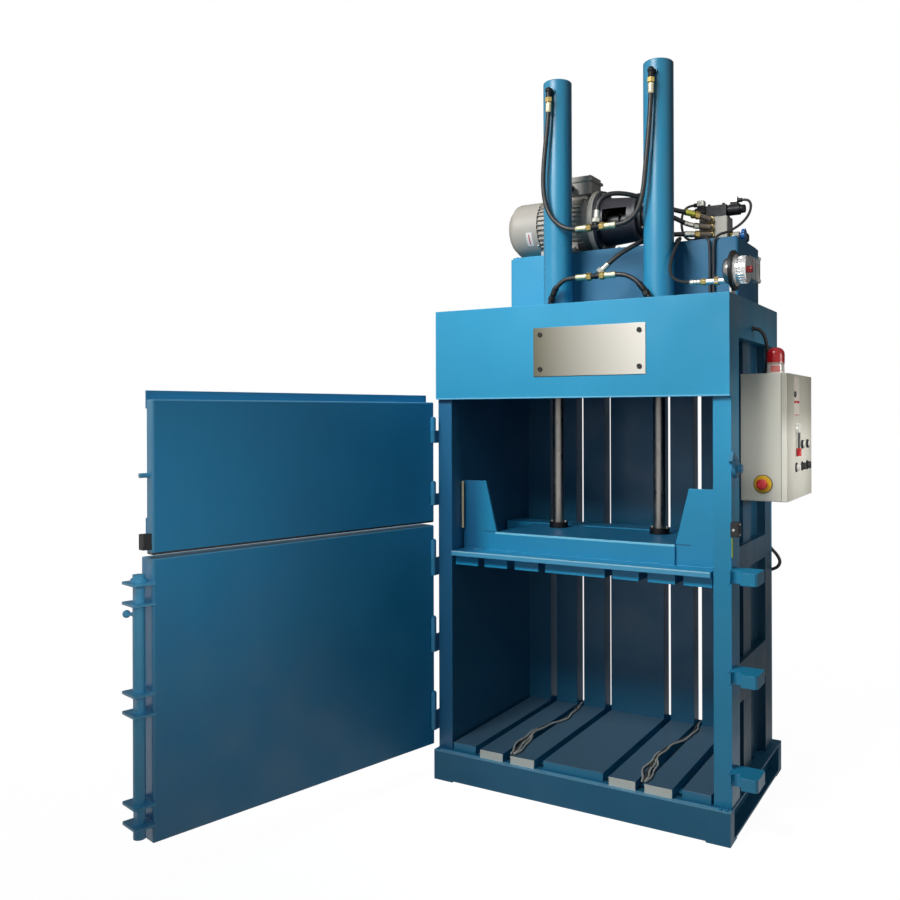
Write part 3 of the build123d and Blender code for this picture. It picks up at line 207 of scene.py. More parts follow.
def paint(name, code, rough=0.34, edge_highlight=0.3, bevel=0.0025):
    """Sprayed enamel: orange peel, uneven tone, lighter vertical streaks as a painted reflection, edges lighter
    by a painted highlight and some wear, and a few chips.
    """
    uneven, reflection_streaks, wear = 0.24, 0.16, 0.4
    shade = colour(code)
    made = Finish(name, shade, rough=rough)
    broad = made.noise(1.6, 3.0)
    made.tint(made.between(broad, 0.35, 0.7, 0.0, uneven), scaled(shade, 0.8))
    # Lighter vertical streaks: a painted reflection.
    reflection_streak = made.noise(9.0, 5.0, stretch=(1.0, 1.0, 0.18))
    made.tint(made.between(reflection_streak, 0.45, 0.75, 0.0, reflection_streaks), scaled(shade, 1.22))
    # Lighter edges: a painted highlight where rounded edges catch light, and some worn paint.
    rim = made.edges(bevel * 1.6)
    made.tint(made.math("MULTIPLY", rim, edge_highlight), scaled(shade, 1.9))
    chips = made.between(made.noise(55.0, 6.0), 0.6, 0.66)
    made.tint(made.math("MULTIPLY", chips, made.math("MULTIPLY", rim, wear)), scaled(shade, 0.3))
    made.roughness(made.noise(6.0, 4.0), rough - 0.06, rough + 0.1)
    made.bumps(made.noise(420.0, 2.0), 0.0004, 0.25, bevel)
    made.bumps(made.noise(14.0, 3.0), 0.004, 0.1)
    return made


def metal(name, code, rough=0.3, dark=0.7, bump=0.15, metallic=1.0):
    """Bare or plated metal: cast grain and duller patches."""
    shade = colour(code)
    made = Finish(name, shade, metallic, rough)
    made.tint(made.between(made.noise(18.0, 5.0), 0.4, 0.75, 0.0, 0.6), scaled(shade, dark))
    grain = made.noise(260.0, 3.0)
    made.roughness(made.noise(30.0, 5.0), max(rough - 0.08, 0.02), rough + 0.14)
    made.bumps(grain, 0.0003, bump, bevel=0.001)
    return made


def plastic(name, code, rough=0.4, grain=500.0, bump=0.12, spread=0.25):
    """Moulded plastic or rubber: fine grain and slight unevenness."""
    shade = colour(code)
    made = Finish(name, shade, rough=rough)
    made.tint(made.between(made.noise(22.0, 4.0), 0.4, 0.7, 0.0, spread), scaled(shade, 1.35))
    made.roughness(made.noise(40.0, 4.0), rough - 0.05, rough + 0.12)
    made.bumps(made.noise(grain, 2.0), 0.0003, bump, bevel=0.001)
    return made


# Blue enamel: copies of one paint, lighter or darker for parts that catch more or less light, with painted
# highlights and painted shade on the edges and faces that catch more or less light than the rest

header_paint = paint("header_paint", "2599c4")
# Painted highlight along the header's lower front edge.
header_paint.patch("header_frame", "6cbfe6", y=("low", -0.01, 0.0005), z=("low", -0.0005, 0.006))
side_paint = paint("side_paint", "2493be")
# Painted shade on the right wall's skin.
side_paint.patch("right_side_wall", "124f6c", x=("low", -0.009, 0.046), y=("both", 0.035, -0.025))
wall_paint = paint("wall_paint", "228ab5")
# Painted shade inside the chamber, on the back wall and the left wall.
below_top = ("both", -0.01, -0.2097)
wall_paint.patch("back_wall", "276f93", x=("both", -0.0005, 0.0005), y=("low", -0.7145, 0.005), z=below_top)
wall_paint.patch("left_side_wall", "226993", x=("high", -0.081, 0.0), y=("low", 0.01, 0.08), z=below_top)
base_paint = paint("base_paint", "216f94", rough=0.5)
# Painted highlight along the base's top front edge.
base_paint.patch("base_frame", "6fb0d0", y=("low", -0.004, 0.021), z=("high", -0.005, 0.001))
floor_paint = paint("floor_paint", "2a84a8")
# Painted reflection: the planks' tops greyer. The longer planks' front ends are silver.
floor_paint.patch("floor_deck", "54778f", z=("high", -0.001, 0.01))
floor_paint.patch("floor_deck", "eef2e8", y=("low", -0.01, 0.0005))
door_paint = paint("door_paint", "2792c6")
# Painted highlights on the doors' front and top edges, and painted shade in the gap under the upper door.
door_paint.patch("upper_door", "4a9fca", y=("low", -0.01, 0.0387))
door_paint.patch("lower_door", "4a9fca", y=("low", -0.01, 0.0822))
door_paint.patch("lower_door", "5ab8e4", y=("low", -0.01, 0.0722), z=("both", -0.01, -0.026))
upper_sheet, lower_sheet = ("both", -0.01, -0.0096), ("both", -0.01, -0.0185)
door_paint.patch("upper_door", "0c2232", y=upper_sheet, z=("low", -0.001, 0.0085))
door_paint.patch("lower_door", "5aa5cc", y=lower_sheet, z=("high", -0.0055, 0.0005))
door_paint.patch("upper_door", "5aa5cc", y=upper_sheet, z=("high", -0.035, -0.029))
bar_paint = paint("bar_paint", "56b6e2")
tank_paint = paint("tank_paint", "2599c4", rough=0.58)
# Painted shade: the tank darker towards its right end.
tank_paint.across("oil_tank", "X", 0.19, 0.41, 0.85, "125578")
barrel_paint = paint("barrel_paint", "278cb3", rough=0.3)
platen_paint = paint("platen_paint", "2493be")
plate_top = ("low", 0.138, 0.143)
# Painted shade on the beam's top and towards its left end; painted highlights on the beam's front edge, the lip
# and the ribs.
platen_paint.patch("platen", "1b668c", x=("both", 0.102, -0.102), y=("both", 0.096, 0.01), z=plate_top)
beam_edge = ("low", 0.1325, 0.143)
platen_paint.patch("platen", "84d8f4", x=("both", 0.16, -0.16), y=("low", 0.076, 0.1), z=beam_edge)
platen_paint.across("platen", "X", 0.132, 0.052, 0.95, "17608a")
platen_paint.patch("platen", "52aed8", y=("low", -0.001, 0.0015), z=("low", 0.041, 0.0625))
platen_paint.patch("platen", "a5dcf2", y=("low", -0.001, 0.003), z=("low", 0.0575, 0.0625))
platen_paint.patch("platen", "1fb0e6", y=("low", 0.032, 0.036), z=("low", -0.03, 0.0415))

# Grey and dark enamel

grey_cast = paint("grey_cast", "b6b1a8", rough=0.42, edge_highlight=0.2)
grey_box = paint("grey_box", "dddacb", rough=0.4, edge_highlight=0.25, bevel=0.003)
# A dark line at the seam between case and door: the gasket, with painted shade in the gap.
grey_box.patch("control_cabinet", "6d6c64", x=("high", -0.0066, -0.0031))
# The cabinet's door is the case's enamel painted lighter, a painted highlight for the face that catches more
# light; it is darker towards the top.
door_enamel = paint("door_enamel", "ece9da", rough=0.35, edge_highlight=0.25, bevel=0.003)
door_enamel.across("cabinet_door", "Z", 0.245, 0.345, 0.6, "8f8c78")
block_paint = paint("block_paint", "a9a79c", rough=0.4, edge_highlight=0.25)
block_paint.patch("valve_manifold", "75695a", x=("both", -0.022, -0.025), y=("low", -0.104, 0.0609),
                  z=("both", 0.0094, 0.0071))
navy_cast = paint("navy_cast", "1c1c26", rough=0.45, edge_highlight=0.5)
dark_cast = paint("dark_cast", "34373b", rough=0.45, edge_highlight=0.3)

# Bare and plated metal

chrome_rod = metal("chrome_rod", "8f8a85", rough=0.33, dark=0.95, bump=0.0)
polished = metal("polished", "dfe0df", rough=0.14, bump=0.05)
zinc = metal("zinc", "c9c8bd")
brass_zinc = metal("brass_zinc", "b8a266", rough=0.32, dark=0.75)
pale_zinc = metal("pale_zinc", "d2cba8", dark=0.8)
olive_zinc = metal("olive_zinc", "b9b74e", rough=0.34, dark=0.8)
black_steel = metal("black_steel", "1b1c1e", rough=0.42, metallic=0.6, bump=0.3)
panel_chrome = metal("panel_chrome", "3c3c3c", rough=0.25)
dull_chrome = metal("dull_chrome", "8d8c8a", rough=0.25, dark=0.6)
plate_steel = Finish("plate_steel", colour("dcd8ce"), metallic=0.25, rough=0.45)
# Painted reflection: the nameplate darker towards its left end.
plate_steel.across("header_frame", "X", 0.925, 0.467, 1.0, "605e4a")
plate_steel.bumps(plate_steel.noise(700.0, 3.0, stretch=(0.05, 1.0, 1.0)), 0.0002, 0.1, bevel=0.001)

# Rubber, plastic and twine

rubber = plastic("rubber", "141516", rough=0.42, grain=900.0)
wire_rubber = plastic("wire_rubber", "222326", rough=0.5, grain=900.0)
black_plastic = plastic("black_plastic", "17181a", rough=0.38)
dark_plastic = plastic("dark_plastic", "0b0b0c", rough=0.6)
white_plastic = plastic("white_plastic", "e4e3dc", rough=0.3)
clear_plastic = plastic("clear_plastic", "c8c8c6", rough=0.12)
lens_plastic = plastic("lens_plastic", "e8e6e0", rough=0.15)
red_plastic = plastic("red_plastic", "c4141c", rough=0.22)
yellow_plastic = plastic("yellow_plastic", "e3b40c", rough=0.3)
blue_plastic = plastic("blue_plastic", "1463a8", rough=0.3)
dark_olive = plastic("dark_olive", "3d3a1c")
oil_tint = plastic("oil_tint", "9a7a22", rough=0.2)
green_wire = plastic("green_wire", "9cae3a", rough=0.45)
cream_paint = plastic("cream_paint", "c8bd9a", rough=0.5)
pale_plate = plastic("pale_plate", "efebe6")
door_label = plastic("door_label", "d3cabf")
twine = plastic("twine", "4a4a48", rough=0.8, grain=300.0, bump=0.6, spread=0.6)
pale_twine = plastic("pale_twine", "b4b7b0", rough=0.75, grain=300.0, bump=0.6, spread=0.6)
lever_plastic = plastic("lever_plastic", "e4e3dc", rough=0.3)
lever_plastic.patch("isolator_handle", "4a4a48", z=("low", -0.01, 0.0915))
lever_plastic.patch("isolator_handle", "c4141c", z=("low", -0.01, 0.0305))
beacon_foot = plastic("beacon_foot", "dcd2ca", rough=0.14)
# Painted red glow in the front of the clear base, under the lens.
beacon_foot.patch("beacon_base", "ea8077", x=("both", 0.02, -0.012), y=("low", -0.007, 0.011),
                  z=("low", 0.0057, 0.0287))
beacon_foot.patch("beacon_base", "cfae9c", z=("high", -0.0078, 0.0002))

for finish, nodes in (
    (base_paint, "base_frame upper_latch"), (floor_paint, "floor_deck"), (header_paint, "header_frame"),
    (wall_paint, "left_side_wall back_wall"), (side_paint, "right_side_wall hinge_pins lock_keepers"),
    (barrel_paint, "cylinder_barrel_left cylinder_barrel_right"), (platen_paint, "platen"),
    (chrome_rod, "piston_rod_left piston_rod_right"), (door_paint, "upper_door lower_door"),
    (bar_paint, "lock_bar"),
    (tank_paint, "oil_tank tank_lid"), (grey_cast, "motor_body motor_fan_cover motor_terminal_box"),
    (dark_cast, "motor_rotor hydraulic_pump"), (navy_cast, "bell_housing"), (block_paint, "valve_manifold"),
    (black_steel, "cylinder_elbows rod_collars directional_valve upper_hose_tee lower_hose_tee"),
    (polished, "level_gauge pressure_gauge"), (dark_plastic, "door_switch door_switch_actuator"),
    (grey_box, "control_cabinet"), (door_enamel, "cabinet_door"), (white_plastic, "start_button"),
    (black_plastic, "stop_button raise_button"), (blue_plastic, "relief_wheel"),
    (beacon_foot, "beacon_base"), (lever_plastic, "isolator_handle"), (yellow_plastic, "emergency_stop_collar"),
    (red_plastic, "emergency_stop_head beacon_lens"),
):
    for node in nodes.split():
        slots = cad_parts[node].data.materials
        slots.clear()
        slots.append(finish.material)


# Diameter, length and route of each hose, cable and rope. The points are those of the solids' routes.

routes = {
    "top_hose_left": (0.02, 0.676, [
        (-0.231, -0.1038, 2.9197), (-0.231, -0.1038, 2.8617), (-0.24, -0.1048, 2.7697),
        (-0.2501, -0.1058, 2.6798), (-0.2571, -0.1058, 2.5998), (-0.2581, -0.1048, 2.5198),
        (-0.2462, -0.1038, 2.4519), (-0.2222, -0.1038, 2.4019), (-0.1902, -0.1038, 2.3679),
        (-0.1563, -0.1038, 2.347), (-0.1223, -0.1038, 2.336), (-0.0923, -0.1038, 2.336),
    ]),
    "top_hose_right": (0.02, 0.664, [
        (0.231, -0.1038, 2.9197), (0.231, -0.1038, 2.8617), (0.226, -0.1048, 2.7697),
        (0.2191, -0.1058, 2.6798), (0.2111, -0.1058, 2.5998), (0.2041, -0.1048, 2.5298),
        (0.1962, -0.1038, 2.4599), (0.1802, -0.1038, 2.4019), (0.1602, -0.1038, 2.3679),
        (0.1323, -0.1038, 2.347), (0.0983, -0.1038, 2.336), (0.0643, -0.1038, 2.336),
    ]),
    "bottom_hose_left": (0.02, 0.177, [
        (-0.0923, -0.1038, 2.129), (-0.1423, -0.1038, 2.129), (-0.1781, -0.1038, 2.113),
        (-0.2083, -0.1038, 2.08), (-0.2219, -0.1038, 2.0369),
    ]),
    "bottom_hose_right": (0.02, 0.189, [
        (0.0643, -0.1038, 2.129), (0.1043, -0.1038, 2.129), (0.1439, -0.1038, 2.1122),
        (0.1817, -0.1038, 2.0835), (0.2144, -0.1038, 2.0334),
    ]),
    "raise_hose": (0.02, 0.511, [
        (-0.011, -0.0978, 2.3959), (-0.0097, -0.0952, 2.422), (-0.0021, -0.0889, 2.448),
        (0.0129, -0.0779, 2.4671), (0.0328, -0.063, 2.4781), (0.0678, -0.0371, 2.4822),
        (0.1127, -0.0031, 2.4763), (0.1626, 0.0338, 2.4564), (0.2116, 0.0718, 2.4344),
        (0.2615, 0.1057, 2.4145), (0.3194, 0.1437, 2.4035), (0.3505, 0.1656, 2.3916),
    ]),
    "lower_hose": (0.02, 0.453, [
        (0.0258, -0.0857, 2.1706), (0.0522, -0.0737, 2.1982), (0.0917, -0.0499, 2.2325),
        (0.1357, -0.016, 2.2645), (0.1677, 0.0358, 2.2904), (0.2076, 0.0777, 2.3064),
        (0.2576, 0.1116, 2.3143), (0.3176, 0.1394, 2.3123), (0.3496, 0.1634, 2.3123),
    ]),
    "pump_hose": (0.02, 0.294, [
        (0.14, 0.1837, 2.4303), (0.14, 0.1567, 2.4303), (0.15, 0.1317, 2.4272),
        (0.1689, 0.1126, 2.4211), (0.1939, 0.1016, 2.412), (0.2209, 0.1006, 2.3998),
        (0.2619, 0.1115, 2.3817), (0.3069, 0.1606, 2.3554), (0.3438, 0.1745, 2.3506),
    ]),
    "gauge_hose": (0.014, 0.763, [
        (0.4957, -0.236, 2.05), (0.4517, -0.236, 2.05), (0.4037, -0.22, 2.056),
        (0.3597, -0.186, 2.072), (0.3257, -0.144, 2.0981), (0.3077, -0.104, 2.1341),
        (0.3037, -0.072, 2.1781), (0.3057, -0.036, 2.2221), (0.3077, 0.006, 2.2561),
        (0.3027, 0.05, 2.2812), (0.2857, 0.094, 2.2912), (0.2607, 0.137, 2.2922),
        (0.2437, 0.178, 2.2932), (0.2437, 0.21, 2.2942), (0.2557, 0.238, 2.2943),
        (0.2777, 0.26, 2.2943), (0.3057, 0.272, 2.2943), (0.3217, 0.272, 2.2943),
    ]),
    "left_coil_cable": (0.011, 0.663, [
        (0.2977, 0.26, 2.4606), (0.2757, 0.26, 2.4606), (0.2577, 0.252, 2.4456),
        (0.2497, 0.242, 2.4186), (0.2498, 0.232, 2.3875), (0.2558, 0.22, 2.3555),
        (0.2678, 0.204, 2.3245), (0.2878, 0.186, 2.3035), (0.3138, 0.168, 2.2915),
        (0.3439, 0.146, 2.2904), (0.3739, 0.12, 2.2904), (0.3979, 0.098, 2.2864),
        (0.4119, 0.086, 2.2674), (0.4159, 0.084, 2.2374), (0.417, 0.086, 2.1693),
        (0.415, 0.088, 2.0993), (0.416, 0.088, 2.0393), (0.416, 0.088, 1.9853),
    ]),
    "right_coil_cable": (0.011, 0.607, [
        (0.5063, 0.26, 2.4606), (0.5283, 0.26, 2.4606), (0.5453, 0.249, 2.4416),
        (0.5503, 0.23, 2.4116), (0.5442, 0.206, 2.3775), (0.5262, 0.18, 2.3455),
        (0.5002, 0.153, 2.3195), (0.4721, 0.127, 2.3025), (0.4471, 0.102, 2.2914),
        (0.4341, 0.088, 2.2694), (0.4311, 0.084, 2.2374), (0.432, 0.086, 2.1694),
        (0.43, 0.088, 2.0993), (0.431, 0.088, 2.0393), (0.431, 0.088, 1.9853),
    ]),
    "cabinet_cable": (0.014, 0.237, [
        (0.6063, -0.067, 1.879), (0.6423, -0.067, 1.879), (0.6593, -0.063, 1.8679),
        (0.6702, -0.057, 1.8498), (0.6752, -0.05, 1.8267), (0.6751, -0.038, 1.7955),
        (0.672, -0.024, 1.7634), (0.666, -0.01, 1.7316), (0.666, -0.01, 1.7003),
    ]),
    "switch_cable": (0.014, 0.199, [
        (0.578, 0.3753, 0.98), (0.578, 0.3958, 0.98), (0.596, 0.4033, 0.956), (0.618, 0.4013, 0.934),
        (0.632, 0.3973, 0.908), (0.622, 0.3973, 0.884), (0.6, 0.4013, 0.872), (0.578, 0.3958, 0.864),
        (0.578, 0.3753, 0.864),
    ]),
    "left_floor_rope": (0.009, 0.764, [
        (-0.262, -0.394, 0.1638), (-0.282, -0.29, 0.1638), (-0.3, -0.18, 0.1638), (-0.305, -0.08, 0.1638),
        (-0.292, 0.0, 0.1638), (-0.268, 0.06, 0.1638), (-0.258, 0.13, 0.1638), (-0.268, 0.21, 0.1638),
        (-0.282, 0.29, 0.1638), (-0.286, 0.36, 0.1638),
    ]),
    "right_floor_rope": (0.009, 0.764, [
        (0.296, -0.396, 0.1638), (0.277, -0.3, 0.1638), (0.262, -0.19, 0.1638), (0.254, -0.08, 0.1638),
        (0.26, 0.01, 0.1638), (0.28, 0.09, 0.1638), (0.298, 0.16, 0.1638), (0.299, 0.23, 0.1638),
        (0.288, 0.3, 0.1638), (0.284, 0.36, 0.1638),
    ]),
}


def placed(name, data):
    """A new object in the scene."""
    made = bpy.data.objects.new(name, data)
    bpy.context.scene.collection.objects.link(made)
    return made


def keep(thing, body, finish):
    """Give a new piece its finish and the body it rides on."""
    thing.data.materials.append(finish.material)
    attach(thing, body)
    return thing


def smooth_line(name, points, diameter):
    data = bpy.data.curves.new(name, "CURVE")
    data.dimensions = "3D"
    spline = data.splines.new("NURBS")
    spline.points.add(len(points) - 1)
    for point, place in zip(spline.points, points):
        point.co = (*place, 1.0)
    spline.order_u = 3
    spline.use_endpoint_u = True
    spline.resolution_u = 10
    data.bevel_depth = diameter / 2
    data.bevel_resolution = 5
    data.use_fill_caps = True
    return placed(name, data)


# Modelled details

class Path:
    """Places and directions along a curve's middle line."""

    def __init__(self, line):
        bare = bpy.data.objects.new("bare", line.data.copy())
        bare.data.bevel_depth = 0.0
        mesh = bpy.data.meshes.new_from_object(bare)
        self.points = [vertex.co.copy() for vertex in mesh.vertices]
        self.runs = [(b - a).length for a, b in zip(self.points, self.points[1:])]
        self.length = sum(self.runs)
        bpy.data.objects.remove(bare)

    def at(self, distance):
        left = min(max(distance, 0.0), self.length)
        for start, end, run in zip(self.points, self.points[1:], self.runs):
            if left <= run:
                return start.lerp(end, left / run), (end - start).normalized()
            left -= run
        return self.points[-1].copy(), (self.points[-1] - self.points[-2]).normalized()


def circle(centre, side, other, radius, count, turn=0.0):
    """Points evenly round a centre, in the plane of two directions."""
    angles = [turn + math.tau * step / count for step in range(count)]
    return [centre + (side * math.cos(a) + other * math.sin(a)) * radius for a in angles]


class Shape:
    """A mesh put together from turned and boxed forms."""

    def __init__(self):
        self.mesh = bmesh.new()

    def rings(self, rings):
        """Skin rings of points, closing the ends."""
        rows = [[self.mesh.verts.new(point) for point in ring] for ring in rings]
        for first, second in zip(rows, rows[1:]):
            count = max(len(first), len(second))
            for step in range(count):
                corners = [first[step % len(first)], first[(step + 1) % len(first)],
                           second[(step + 1) % len(second)], second[step % len(second)]]
                corners = list(dict.fromkeys(corners))
                if len(corners) > 2:
                    self.mesh.faces.new(corners)
        for row in (rows[0], rows[-1]):
            if len(row) > 2:
                self.mesh.faces.new(row)
        return self

    def turned(self, outline, place, axis, segments=32, turn=0.0):
        """Lathe pairs of distance and radius about an axis. Six segments make a hexagon."""
        axis = Vector(axis).normalized()
        side = axis.orthogonal().normalized()
        other = axis.cross(side)
        rings = []
        for distance, radius in outline:
            centre = Vector(place) + axis * distance
            rings.append(circle(centre, side, other, radius, segments if radius else 1, turn))
        return self.rings(rings)

    def swept(self, outline, path, segments=24, back=False):
        """Lathe pairs of distance and radius along a path, from its start or its end."""
        rings = []
        side = path.at(0.0)[1].orthogonal().normalized()
        for distance, radius in outline:
            centre, ahead = path.at(path.length - distance if back else distance)
            side = (side - ahead * side.dot(ahead)).normalized()
            rings.append(circle(centre, side, ahead.cross(side), radius, segments))
        return self.rings(rings)

    def box(self, low, high):
        xs, ys, zs = zip(low, high)
        lower = [(x, y, zs[0]) for x, y in ((xs[0], ys[0]), (xs[1], ys[0]), (xs[1], ys[1]), (xs[0], ys[1]))]
        return self.rings([lower, [(x, y, zs[1]) for x, y, z in lower]])

    def bolt(self, place, axis, size, turn=0.3):
        """Washer and hexagon head. The size is the head's radius."""
        self.turned([(0, size * 1.35), (size * 0.2, size * 1.35)], place, axis, 20)
        head = [(size * 0.2, size), (size * 0.3, size * 1.08), (size * 0.85, size * 1.08), (size, size * 0.9)]
        return self.turned(head, place, axis, 6, turn)

    def weld(self, start, end, radius, pitch=0.007):
        """A rippled bead between two points."""
        start, end = Vector(start), Vector(end)
        length = (end - start).length
        count = max(int(length / pitch), 2) * 3
        outline = []
        for step in range(count + 1):
            ripple = 1.0 + 0.22 * math.sin(step * math.tau / 3) + random.uniform(-0.08, 0.08)
            outline.append((length * step / count, radius * ripple))
        return self.turned([(0, radius * 0.3)] + outline + [(length, radius * 0.3)], start, end - start, 8)

    def save(self, name, finish, bevel=0.0, body="frame"):
        bmesh.ops.recalc_face_normals(self.mesh, faces=self.mesh.faces)
        mesh = bpy.data.meshes.new(name)
        self.mesh.to_mesh(mesh)
        self.mesh.free()
        piece = placed(name, mesh)
        mesh.polygons.foreach_set("use_smooth", [True] * len(mesh.polygons))
        mesh.set_sharp_from_angle(angle=math.radians(38))
        if bevel:
            rounding = piece.modifiers.new("rounding", "BEVEL")
            rounding.width = bevel
            rounding.segments = 2
            rounding.limit_method = "ANGLE"
            rounding.harden_normals = True
        return keep(piece, body, finish)


hinge = middle("hinge_pins")
open_angle = math.radians(-103.9)


def swung(point):
    """Where a point of a closed front door stands with the door open."""
    x, y = point[0] - hinge.x, point[1] - hinge.y
    cosine, sine = math.cos(open_angle), math.sin(open_angle)
    return (hinge.x + x * cosine - y * sine, hinge.y + x * sine + y * cosine, point[2])


def around(count, centre, radius, axis, offset=0.5):
    """Angles and places of pieces set evenly round an axis to the right or up."""
    for step in range(count):
        angle = math.tau * (step + offset) / count
        first, second = radius * math.cos(angle), radius * math.sin(angle)
        shift = (0, first, second) if axis == RIGHT else (first, second, 0)
        yield angle, Vector(centre) + Vector(shift)


def bent(outline, centre, start, end, steps):
    """An outline of distance along X and radius, repeated at angles in degrees round a centre."""
    sections = []
    for step in range(steps + 1):
        angle = math.radians(start + (end - start) * step / steps)
        out = Vector((0, math.cos(angle), math.sin(angle)))
        sections.append([Vector(centre) + out * radius + Vector((along, 0, 0)) for along, radius in outline])
    return sections


def nut_outline(start, length, radius, shoulder, chamfer=0.001):
    return [(start, shoulder), (start + chamfer, radius),
            (start + length - chamfer, radius), (start + length, shoulder)]


def socket_head(radius, rim, bore):
    """Cap screw 6.8 mm high with a blind bore in its head."""
    return [(0, radius), (0.006, radius), (0.0068, rim), (0.0068, bore), (0.003, bore)]


def sleeve_outline(start, length, radius):
    """Crimped hose end with two rolled grooves."""
    end = start + length
    outline = [(start, radius * 0.93), (start + 0.002, radius)]
    for share in (0.35, 0.6):
        groove, inner = start + length * share, radius * 0.94
        outline += [(groove - 0.002, radius), (groove - 0.001, inner)]
        outline += [(groove + 0.002, inner), (groove + 0.003, radius)]
    return outline + [(end - 0.003, radius), (end - 0.001, radius * 0.9), (end, radius * 0.82)]


def hose_end(name, path, nut_finish, sleeve_finish, back, scale):
    """Hexagon nut and crimped sleeve on the end of a hose."""
    outline = nut_outline(0.0, 0.021, 0.0165 * scale, 0.0148 * scale, 0.002)
    nut = Shape().swept(outline, path, 6, back)
    outline = [(0.02, 0.0095 * scale)] + sleeve_outline(0.024, 0.042, 0.0134 * scale)
    sleeve = Shape().swept(outline, path, 24, back)
    return [nut.save(name + "_nut", nut_finish, 0.0006),
            sleeve.save(name + "_sleeve", sleeve_finish)]


# Fittings of the near and the far end: nut, sleeve and scale, which is nought where the solids have one

fittings = {
    "top_hose_left": ((brass_zinc, pale_zinc, 1.0), (brass_zinc, pale_zinc, 0.0)),
    "top_hose_right": ((brass_zinc, pale_zinc, 1.0), (brass_zinc, pale_zinc, 0.0)),
    "bottom_hose_left": ((brass_zinc, pale_zinc, 0.0), (black_steel, black_steel, 1.0)),
    "bottom_hose_right": ((brass_zinc, pale_zinc, 0.0), (black_steel, black_steel, 1.0)),
    "raise_hose": ((zinc, zinc, 0.0), (brass_zinc, olive_zinc, 1.0)),
    "lower_hose": ((zinc, zinc, 0.0), (brass_zinc, zinc, 1.0)),
    "pump_hose": ((zinc, zinc, 1.0), (zinc, zinc, 0.8)),
    "gauge_hose": ((brass_zinc, zinc, 0.8), (brass_zinc, zinc, 0.8)),
}


def lay_line(name, diameter, points):
    """One hose, cable or rope, with the fittings crimped on it."""
    is_rope = name.endswith("rope")
    finish = twine if is_rope else (rubber if diameter > HOSE_FROM else wire_rubber)
    line = keep(smooth_line("line_" + name, points, diameter), "frame", finish)
    path = Path(line)
    pieces = []
    if is_rope:
        pieces = rope_strands(name, path)
    for back, ends in enumerate(fittings.get(name, ())):
        nut, sleeve, scale = ends
        if scale:
            label = name + ("_far" if back else "_near")
            pieces += hose_end(label, path, nut, sleeve, bool(back), scale)
    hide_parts(name)


def rope_strands(name, path):
    """Three laid strands over the core, and three loose ones that part from it and come back."""
    pieces = []
    stride, lay, strand = 0.004, 0.034, 0.0026
    count = int(path.length / stride)
    strands = Shape()
    for third in range(3):
        rings = []
        for step in range(count + 1):
            centre, ahead = path.at(path.length * step / count)
            side = ahead.cross(Vector(UP)).normalized()
            up = side.cross(ahead)
            turn = math.tau * (third / 3 + step * stride / lay)
            core = centre + (side * math.cos(turn) + up * math.sin(turn)) * strand
            rings.append(circle(core, side, up, strand, 6))
        strands.rings(rings)
    pieces.append(strands.save(name + "_strands", twine))
    eye = Shape()
    for reach, spread, start in ((1.0, 0.018, 0.008), (0.42, -0.012, -0.006), (0.3, 0.007, 0.004)):
        rings = []
        for step in range(count + 1):
            distance = path.length * reach * step / count
            centre, ahead = path.at(distance)
            side = ahead.cross(Vector(UP)).normalized()
            apart = start + spread * math.sin(math.pi * min(distance / 0.24, 1.0))
            wander = 0.004 * math.sin(distance * 40)
            core = centre + side * (apart + wander) + Vector((0, 0, 0.0013))
            rings.append(circle(core, side, Vector(UP), 0.0044 if 0 < step < count else 0.001, 8))
        eye.rings(rings)
    pieces.append(eye.save(name + "_eye", pale_twine))
    return pieces


for name, (diameter, length, points) in routes.items():
    lay_line(name, diameter, points)


# Header, tank and deck

def nameplate(low):
    """Bare plate with four round-headed bolts on the header's front."""
    front = low.y - 0.0034
    left, right, bottom, top = low.x + 0.467, low.x + 0.937, low.z + 0.0865, low.z + 0.2805
    plate = Shape().box((left, front, bottom), (right, low.y - 0.0003, top))
    plate.save("nameplate", plate_steel, 0.0009)
    head = [(0, 0.0098), (0.003, 0.0098), (0.0046, 0.0078), (0.0046, 0.0042), (0.0022, 0.0042)]
    bolts = Shape()
    for x in (left + 0.03, right - 0.0245):
        for z in (bottom + 0.0297, top - 0.0274):
            bolts.turned(head, (x, front, z), FRONT, 24)
    bolts.save("nameplate_bolts", dark_plastic)


def header_details():
    low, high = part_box("header_frame")
    nameplate(low)
    for name, route, end, axis, ahead, bore in (
        ("header_grommet", "cabinet_cable", 0, RIGHT, 0.0189, 0.0075),
        ("loop_grommet_top", "switch_cable", 0, BACK, -0.0001, 0.0075),
        ("loop_grommet_bottom", "switch_cable", -1, BACK, -0.0001, 0.0075),
        ("coil_grommet_left", "left_coil_cable", -1, UP, -0.0001, 0.006),
        ("coil_grommet_right", "right_coil_cable", -1, UP, -0.0001, 0.006),
    ):
        place = Vector(routes[route][2][end]) + Vector(axis) * ahead
        ring = [(0, bore + 0.0045), (0.002, bore + 0.0048), (0.004, bore + 0.003), (0.0045, bore)]
        Shape().turned(ring, place, axis, 24).save(name, rubber)
    cylinder = middle("cylinder_barrel_right")
    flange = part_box("cylinder_barrel_right")[0].z - 0.0008
    collar = [(0, 0.0705), (0.002, 0.0705), (0.006, 0.0665), (0.008, 0.063)]
    bolts, collars = Shape(), Shape()
    for x in (-cylinder.x, cylinder.x):
        for angle, place in around(8, (x, cylinder.y, flange), 0.0755, UP):
            bolts.bolt(place, DOWN, 0.0055)
        collars.turned(collar, (x, cylinder.y, high.z + 0.0001), UP, 48)
    bolts.save("cylinder_flange_bolts", black_steel)
    collars.save("deck_collars", header_paint)


